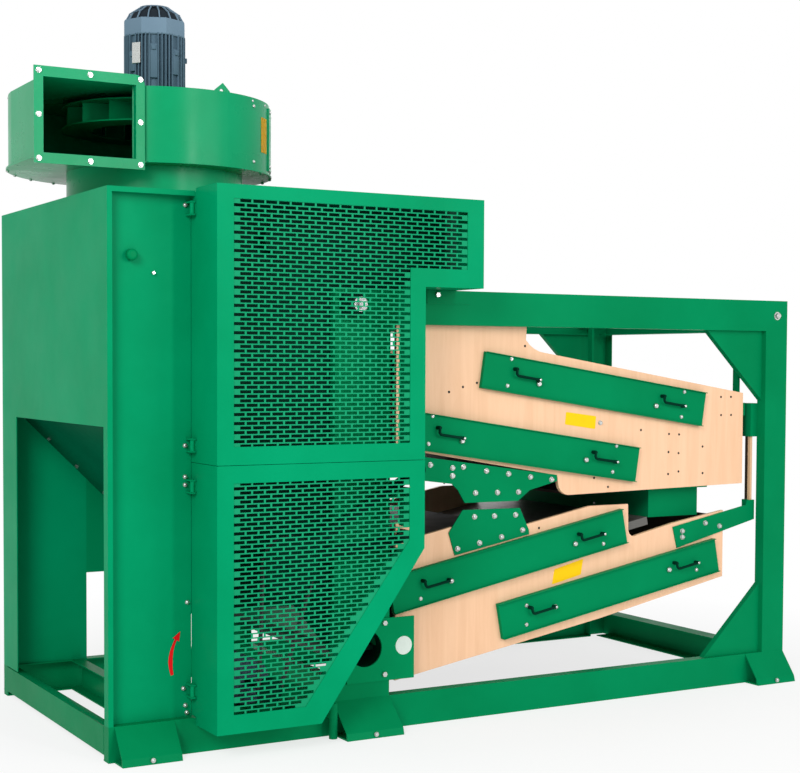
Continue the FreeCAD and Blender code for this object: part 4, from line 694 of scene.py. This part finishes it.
def motor_barrel():
    """Flange, its screws, and a barrel with groups of fins and four cast pads."""
    bm = bmesh.new()
    turned(bm, [(0, 0), (150, 0), (150, 16), (146, 20), (132, 24), (118, 38), (MOTOR_RADIUS, 50),
                (MOTOR_RADIUS, MOTOR_HEIGHT), (0, MOTOR_HEIGHT)], MOTOR_BASE, UP, 48)
    for i in range(8):
        spot = motor_turn(math.pi / 4 * (i + 0.5)) @ Vector((138, 0, 18))
        screw(bm, spot, UP, 14, 8, 0)
    for group in range(FIN_GROUPS):
        for fin in range(-2, 3):
            turn = motor_turn(2 * math.pi / FIN_GROUPS * group + fin * math.radians(FIN_ANGLE))
            block(bm, (108, -2.2, 46), (131 - abs(fin) * 1.5, 2.2, 276), 1.0, 1, turn)
    for group, low, high in ((4.5, 120, 205), (5.5, 90, 230), (6.5, 110, 215), (7.5, 120, 200)):
        turn = motor_turn(2 * math.pi / FIN_GROUPS * group)
        block(bm, (108, -15, low), (127, 15, high), 3, 2, turn)
        block(bm, (120, -9, high - 26), (134, 9, high - 6), 2, 2, turn)
    put_on(bm, "fan_motor_barrel", "frame", SLATE)


def motor_terminals():
    """Terminal box behind the motor, with its lid and cable gland."""
    bm = bmesh.new()
    block(bm, (405, 818, 2665), (505, 892, 2790), 8, 3)
    block(bm, (400, 890, 2660), (510, 900, 2795), 4, 2)
    turned(bm, [(0, 26), (14, 26), (16, 22), (16, 0), (0, 0)], (505, 862, 2690), (1, 0, 0), 20)
    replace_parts(put_on(bm, "fan_motor_terminals", "frame", SLATE), "fan_motor")


def motor_hood():
    """Eight-sided band with ribs that lean in to a cap, over the dome of the fan cover, painted dark as
    shade inside the hood.
    """
    top = MOTOR_HEIGHT
    bm = bmesh.new()
    turned(bm, [(114, top - 8), (131, top - 8), (134, top - 4), (134, top + 52), (130, top + 60),
                (118, top + 60), (118, top + 30), (114, top - 8)], MOTOR_BASE, UP, 8)
    turned(bm, [(60, top + 118), (63, top + 122), (34, top + 126), (0, top + 127)], MOTOR_BASE, UP, 24)
    for i in range(HOOD_RIBS):
        turn = motor_turn(2 * math.pi / HOOD_RIBS * (i + 0.5))
        for radius, height, lean, foot, length in ((122, 58, -30, -3, 40), (104, 90, -56, -4, 56)):
            rib = (turn @ Matrix.Translation((radius, 0, top + height))
                   @ Matrix.Rotation(math.radians(lean), 4, "Y"))
            block(bm, (-3, -2.5, foot), (3, 2.5, length), 1.0, 1, rib)
    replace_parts(put_on(bm, "motor_hood", "frame", SLATE_PALE), "motor_cowl")
    bm = bmesh.new()
    turned(bm, [(0, top + 40), (114, top + 46), (112, top + 62), (94, top + 92), (52, top + 114),
                (0, top + 116)], MOTOR_BASE, UP, 32)
    put_on(bm, "motor_hood_inside", "frame", SLATE_DARK)


def motor_plate():
    """Bare rating plate on the fins."""
    bm = bmesh.new()
    block(bm, (130.5, -20, 150), (133, 20, 235), 1.0, 1, motor_turn(math.radians(214)))
    put_on(bm, "motor_rating_plate", "frame", ZINC)


def fan_wheel():
    """Narrow wheel: back plate with hub and shaft, a rim below and leaning blades between them."""
    bm = bmesh.new()
    base = (FAN_X, FAN_Y, 0)
    outer = WHEEL_RADIUS
    high = WHEEL_HIGH
    low = WHEEL_LOW
    turned(bm, [(0, high), (outer - 1, high), (outer, high - 2), (outer, high - WHEEL_PLATE),
                (60, high - WHEEL_PLATE), (60, high - 62), (0, high - 62)], base, UP, 64)
    turned(bm, [(WHEEL_EYE, low), (outer - 1, low), (outer, low + 2), (outer, low + WHEEL_PLATE),
                (WHEEL_EYE, low + WHEEL_PLATE), (WHEEL_EYE, low)], base, UP, 64)
    turned(bm, [(19, high), (19, SCROLL_HIGH - 3), (0, SCROLL_HIGH - 3)], base, UP, 24)
    for i in range(WHEEL_BLADES):
        turn = Matrix.Translation(base) @ Matrix.Rotation(2 * math.pi * i / WHEEL_BLADES, 4, "Z")
        lean = turn @ Matrix.Translation((262, 40, 0)) @ Matrix.Rotation(math.radians(-35), 4, "Z")
        block(bm, (0, -2, low + WHEEL_PLATE), (126, 2, high - WHEEL_PLATE), 0, 1, lean)
    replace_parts(put_on(bm, "fan_wheel", "impeller", FRAME_GREEN), "impeller")


fan_screws()
fan_label()
motor_barrel()
motor_terminals()
motor_hood()
motor_plate()
fan_wheel()


# Screen covers: trays, bent handles, knobs and screws, each placed along and up its cover
COVER_CORNERS = ((1666, 1395), (1281, 1150), (1248, 460), (1787, 310))
COVER_ANGLES = (-8.55, -8.6, 10.97, 10.4)
COVER_SCREWS = (((132, 145), (129, 28), (1097, 142), (1098, 26)),
                ((123, 149), (122, 31), (1094, 148), (1091, 30)),
                ((132, 32), (1095, 28)),
                ((141, 115), (127, 33), (1094, 40)))
COVER_KNOBS = (((287, 59), (940, 55)), ((280, 64), (934, 65)), ((288, 69), (941, 67)),
               ((285, 73), (933, 80)))
COVER_LENGTH = 1227.0
COVER_HEIGHT = 157.0
COVER_SHEET = 3.0
COVER_FACE = 42.0
COVER_LIP = 12.0
COVER_DEPTH = 19.5
HANDLE_EYES = (154, 969)
HANDLE_RUN = 124
HANDLE_LOW = 76
HANDLE_HIGH = 104
HANDLE_STAND = 24
HANDLE_BEND = 14
HANDLE_RADIUS = 6


def cover_turn(index):
    x, z = COVER_CORNERS[index]
    lean = Matrix.Rotation(math.radians(-COVER_ANGLES[index]), 4, "Y")
    return Matrix.Translation((x, COVER_FACE, z)) @ lean


def cover_tray(index):
    """Pressed cover: a face set back between a lip along the top and one along the bottom."""
    turn = cover_turn(index)
    sheet = COVER_SHEET
    low = sheet
    high = COVER_HEIGHT - sheet
    bm = bmesh.new()
    block(bm, (0, 0, low), (COVER_LENGTH, sheet, high), 0, 1, turn)
    for left in (0, COVER_LENGTH - sheet):
        block(bm, (left, sheet, low), (left + sheet, COVER_DEPTH, high), 0, 1, turn)
    for lip in (0, high):
        block(bm, (0, -COVER_LIP, lip), (COVER_LENGTH, COVER_DEPTH, lip + sheet), 0.9, 2, turn)
    number = str(index + 1)
    tray = put_on(bm, "cover_tray_" + number, "cover_" + number, FRAME_GREEN)
    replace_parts(tray, "screen_cover_" + number)


def bent_bar(bm, start, turn):
    """Round bar: down from its left eye, round a bend and along to the right eye."""
    before = set(bm.verts)
    ring = bmesh.ops.create_circle(bm, segments=12, radius=HANDLE_RADIUS)["verts"]
    bmesh.ops.translate(bm, verts=ring, vec=start)
    loop = list({e for v in ring for e in v.link_edges})

    def edges_of(geometry):
        return [g for g in geometry if isinstance(g, bmesh.types.BMEdge)]

    def lengthened(way):
        grown = bmesh.ops.extrude_edge_only(bm, edges=loop)["geom"]
        bmesh.ops.translate(bm, verts=verts_of(grown), vec=way)
        return edges_of(grown)

    drop = HANDLE_HIGH - HANDLE_LOW
    loop = lengthened((0, 0, HANDLE_BEND - drop))
    centre = (start[0] + HANDLE_BEND, start[1], start[2] - drop + HANDLE_BEND)
    ring = list({v for e in loop for v in e.verts})
    bend = bmesh.ops.spin(bm, geom=ring + loop, cent=centre, axis=(0, 1, 0), angle=-math.pi / 2, steps=5,
                          use_merge=False)
    loop = edges_of(bend["geom_last"])
    lengthened((HANDLE_RUN - HANDLE_BEND, 0, 0))
    verts = added(bm, before)
    bmesh.ops.recalc_face_normals(bm, faces=list({f for v in verts for f in v.link_faces}))
    bmesh.ops.transform(bm, matrix=turn, verts=verts)


def cover_fittings(index):
    turn = cover_turn(index)
    number = str(index + 1)
    bars = bmesh.new()
    fixings = bmesh.new()
    for left in HANDLE_EYES:
        right = left + HANDLE_RUN
        bent_bar(bars, (left, -HANDLE_STAND, HANDLE_HIGH), turn)
        for along, up in ((left, HANDLE_HIGH), (right, HANDLE_LOW)):
            turned(bars, [(0, 0), (8, 0), (8, HANDLE_STAND), (6, 29), (0, 30)],
                   turn @ Vector((along, 0, up)), FORWARD, 14)
        button(fixings, turn @ Vector((right, -30, HANDLE_LOW)), FORWARD, 6, 3, 12)
    for along, up in COVER_KNOBS[index]:
        turned(fixings, [(0, 14), (8, 14), (11, 11), (12, 7), (10, 3), (8, 0), (0, 0)],
               turn @ Vector((along, 0, up)), FORWARD, 18)
    for along, up in COVER_SCREWS[index]:
        screw(fixings, turn @ Vector((along, 0, up)), FORWARD, 12, 5, 8.5)
    handles = put_on(bars, "cover_handles_" + number, "cover_" + number, DARK_GREEN)
    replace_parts(handles, "cover_fittings_" + number)
    put_on(fixings, "cover_screws_" + number, "cover_" + number, ZINC)


for cover in range(4):
    cover_tray(cover)
for cover in range(4):
    cover_fittings(cover)


# Shoes: plate screws, empty holes and plain labels, as (X, Z) on the side boards
PLATE_FACE = 56.0
PLY_FACE = 62.0
FILM_FACE = 61.9
UPPER_PLATE_SCREWS = ((1423, 1074), (1532, 1058), (1586, 1060), (1532, 1024), (1702, 1040),
                      (1815, 1024), (1929, 1007), (2041, 992), (1647, 948), (1759, 946), (1867, 944))
LOWER_PLATE_SCREWS = ((1643, 846), (1744, 845), (1853, 845), (1890, 778), (1781, 753), (1669, 733),
                      (1559, 714), (2780, 729), (2780, 701), (2917, 760), (3003, 742))
UPPER_HOLES = ((3010, 1347), (3071, 1347), (3012, 1262), (3073, 1262), (2539, 1200), (2702, 1179),
               (2761, 1176), (2700, 1096), (2759, 1090), (2699, 995), (2760, 1005), (2902, 1117),
               (2904, 993), (2356, 948), (2278, 991), (1517, 1378), (1586, 1399), (1656, 1416),
               (1901, 1575))
LOWER_HOLES = ((2279, 879), (1982, 781))
UPPER_LABEL = ((2116, 1232), (2280, 1209), (2286, 1266), (2122, 1287))
LOWER_LABEL = ((2053, 528), (2209, 562), (2222, 632), (2066, 594))


def both_faces(depth):
    """Depths and outward directions of the two sides of a shoe."""
    return (depth, FORWARD), (DEPTH - depth, (0, 1, 0))


def shoe_screws(name, body, cad_node, spots):
    bm = bmesh.new()
    for x, z in spots:
        for y, way in both_faces(PLATE_FACE):
            screw(bm, (x, y, z), way, 17, 9, 12, x * 0.01)
    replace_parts(put_on(bm, name, body, ZINC), cad_node)


def empty_holes(name, body, spots, radius=5.5):
    bm = bmesh.new()
    for x, z in spots:
        for y, way in both_faces(PLY_FACE):
            turned(bm, [(radius, 0), (radius, 0.3), (radius * 0.8, 0.5), (0, 0.5)], (x, y, z), way, 14)
    put_on(bm, name, body, HOLE)


def film(name, body, corners):
    """Thin yellow film with rounded corners on a side board."""
    bm = bmesh.new()
    verts = [bm.verts.new((x, FILM_FACE, z)) for x, z in corners]
    bm.faces.new(verts)
    bmesh.ops.bevel(bm, geom=verts, offset=5, segments=4, profile=0.5, affect="VERTICES", material=-1)
    bm.normal_update()
    if bm.faces[:][0].normal.y > 0:
        bmesh.ops.reverse_faces(bm, faces=bm.faces)
    bmesh.ops.solidify(bm, geom=bm.faces[:], thickness=-0.6)
    put_on(bm, name, body, YELLOW)


def board_bolt():
    """Bolt by the upper label."""
    bm = bmesh.new()
    screw(bm, (2308, PLY_FACE, 1236), FORWARD, 15, 8, 11)
    put_on(bm, "upper_board_bolt", "upper_shoe", ZINC)


shoe_screws("upper_plate_screws", "upper_shoe", "upper_shoe_bolts", UPPER_PLATE_SCREWS)
shoe_screws("lower_plate_screws", "lower_shoe", "lower_shoe_bolts", LOWER_PLATE_SCREWS)
empty_holes("upper_board_holes", "upper_shoe", UPPER_HOLES)
empty_holes("lower_board_holes", "lower_shoe", LOWER_HOLES)
film("upper_label", "upper_shoe", UPPER_LABEL)
film("lower_label", "lower_shoe", LOWER_LABEL)
board_bolt()


# Front wall, frame and feed box
WALL_FACE = 40.5
WALL_SCREWS = ((322, 1180), (322, 1060), (322, 1029), (330, 577), (314, 245), (322, 179), (328, 151),
               (324, 2095))
MARK_FACE = 40.6
MARK_CENTRE = (440, 350)
MARK_RADIUS = 178
MARK_STEPS = 8
END_PLATE_SPOT = (1264, -6, 338)
FOOT_SCREW_HEIGHT = 16
TOP_BOLT_SPOT = (3295, 0, 1729)
STOP_POST_SPOT = (916, -50, 0)
SHOULDER_OUTLINE = ((1215, 1801), (1539, 1801), (1539, 2146), (1481, 2146), (1481, 1984))
SHOULDER_FACE = 41.2


def turning_mark():
    """Plain curved red arrow for the drive's direction."""
    bm = bmesh.new()
    centre = Vector((MARK_CENTRE[0], MARK_FACE, MARK_CENTRE[1]))
    inner = []
    outer = []
    for i in range(MARK_STEPS + 1):
        angle = math.radians(196 - 46 * i / MARK_STEPS)
        half_width = 3 + 6 * (1 - abs(i - 3) / 6)
        way = Vector((math.cos(angle), 0, math.sin(angle)))
        inner.append(bm.verts.new(centre + way * (MARK_RADIUS - half_width)))
        outer.append(bm.verts.new(centre + way * (MARK_RADIUS + half_width)))
    for i in range(MARK_STEPS):
        bm.faces.new((inner[i], inner[i + 1], outer[i + 1], outer[i]))
    tip = math.radians(150)
    side = Vector((math.cos(tip), 0, math.sin(tip)))
    on = Vector((math.sin(tip), 0, -math.cos(tip)))
    bm.faces.new([bm.verts.new(centre + side * (MARK_RADIUS + across) + on * ahead)
                  for across, ahead in ((-15, -4), (0, 32), (15, -4))])
    bmesh.ops.recalc_face_normals(bm, faces=bm.faces)
    bmesh.ops.solidify(bm, geom=bm.faces[:], thickness=-0.6)
    put_on(bm, "turning_mark", "frame", RED)


def bare_disc():
    """Round pale film without a sign on the end plate."""
    bm = bmesh.new()
    turned(bm, [(0, 0.6), (38, 0.6), (38.5, 0), (0, 0)], END_PLATE_SPOT, FORWARD, 48)
    put_on(bm, "round_film", "frame", PALE)


def stop_post():
    """Short round post on the floor beside the middle foot, held by a lug on the base beam."""
    bm = bmesh.new()
    turned(bm, [(0, 0), (17, 0), (17, 134), (15, 141), (9, 145), (0, 146)], STOP_POST_SPOT, UP, 24)
    block(bm, (910, -36, 76), (922, 0, 106), 1.5, 2)
    put_on(bm, "stop_post", "frame", FRAME_GREEN)


def base_corners():
    """Plates that close the ends of the base beams, and the flange on top of the left rail."""
    bm = bmesh.new()
    for near in (3, DEPTH - 52):
        block(bm, (0.6, near, 4), (5, near + 49, 132), 0, 1)
    block(bm, (5.2, 56, 126.5), (42, DEPTH - 56, 130.8), 1.0, 2)
    put_on(bm, "base_corner_plates", "frame", FRAME_GREEN)


def feed_box_shoulder():
    """Widened top of the feed box, from the frame's top beam up to its lid."""
    bm = bmesh.new()
    face = bm.faces.new([bm.verts.new((x, SHOULDER_FACE, z)) for x, z in SHOULDER_OUTLINE])
    grown = bmesh.ops.extrude_face_region(bm, geom=[face])["geom"]
    bmesh.ops.translate(bm, verts=verts_of(grown), vec=(0, DEPTH - 2 * SHOULDER_FACE, 0))
    # Painted shade: its front face takes the near-black front of the chamber finish.
    put_on(bm, "feed_box_shoulder", "frame", SIDE_GREEN)


def frame_screws():
    bm = bmesh.new()
    for x in (142.5, 3241):
        for y, way in both_faces(-90):
            screw(bm, (x, y, FOOT_SCREW_HEIGHT), way, 14, 7, 10)
    screw(bm, (1070, -128, FOOT_SCREW_HEIGHT), FORWARD, 14, 7, 10)
    turned(bm, [(19, 0), (19, 3), (13, 3), (13, 0), (19, 0)], TOP_BOLT_SPOT, FORWARD, 28)
    screw(bm, TOP_BOLT_SPOT, FORWARD, 19, 10, 11)
    for x, z in WALL_SCREWS:
        screw(bm, (x, WALL_FACE, z), FORWARD, 13, 7, 9)
    put_on(bm, "foot_screws", "frame", ZINC)


turning_mark()
bare_disc()
stop_post()
base_corners()
feed_box_shoulder()
frame_screws()
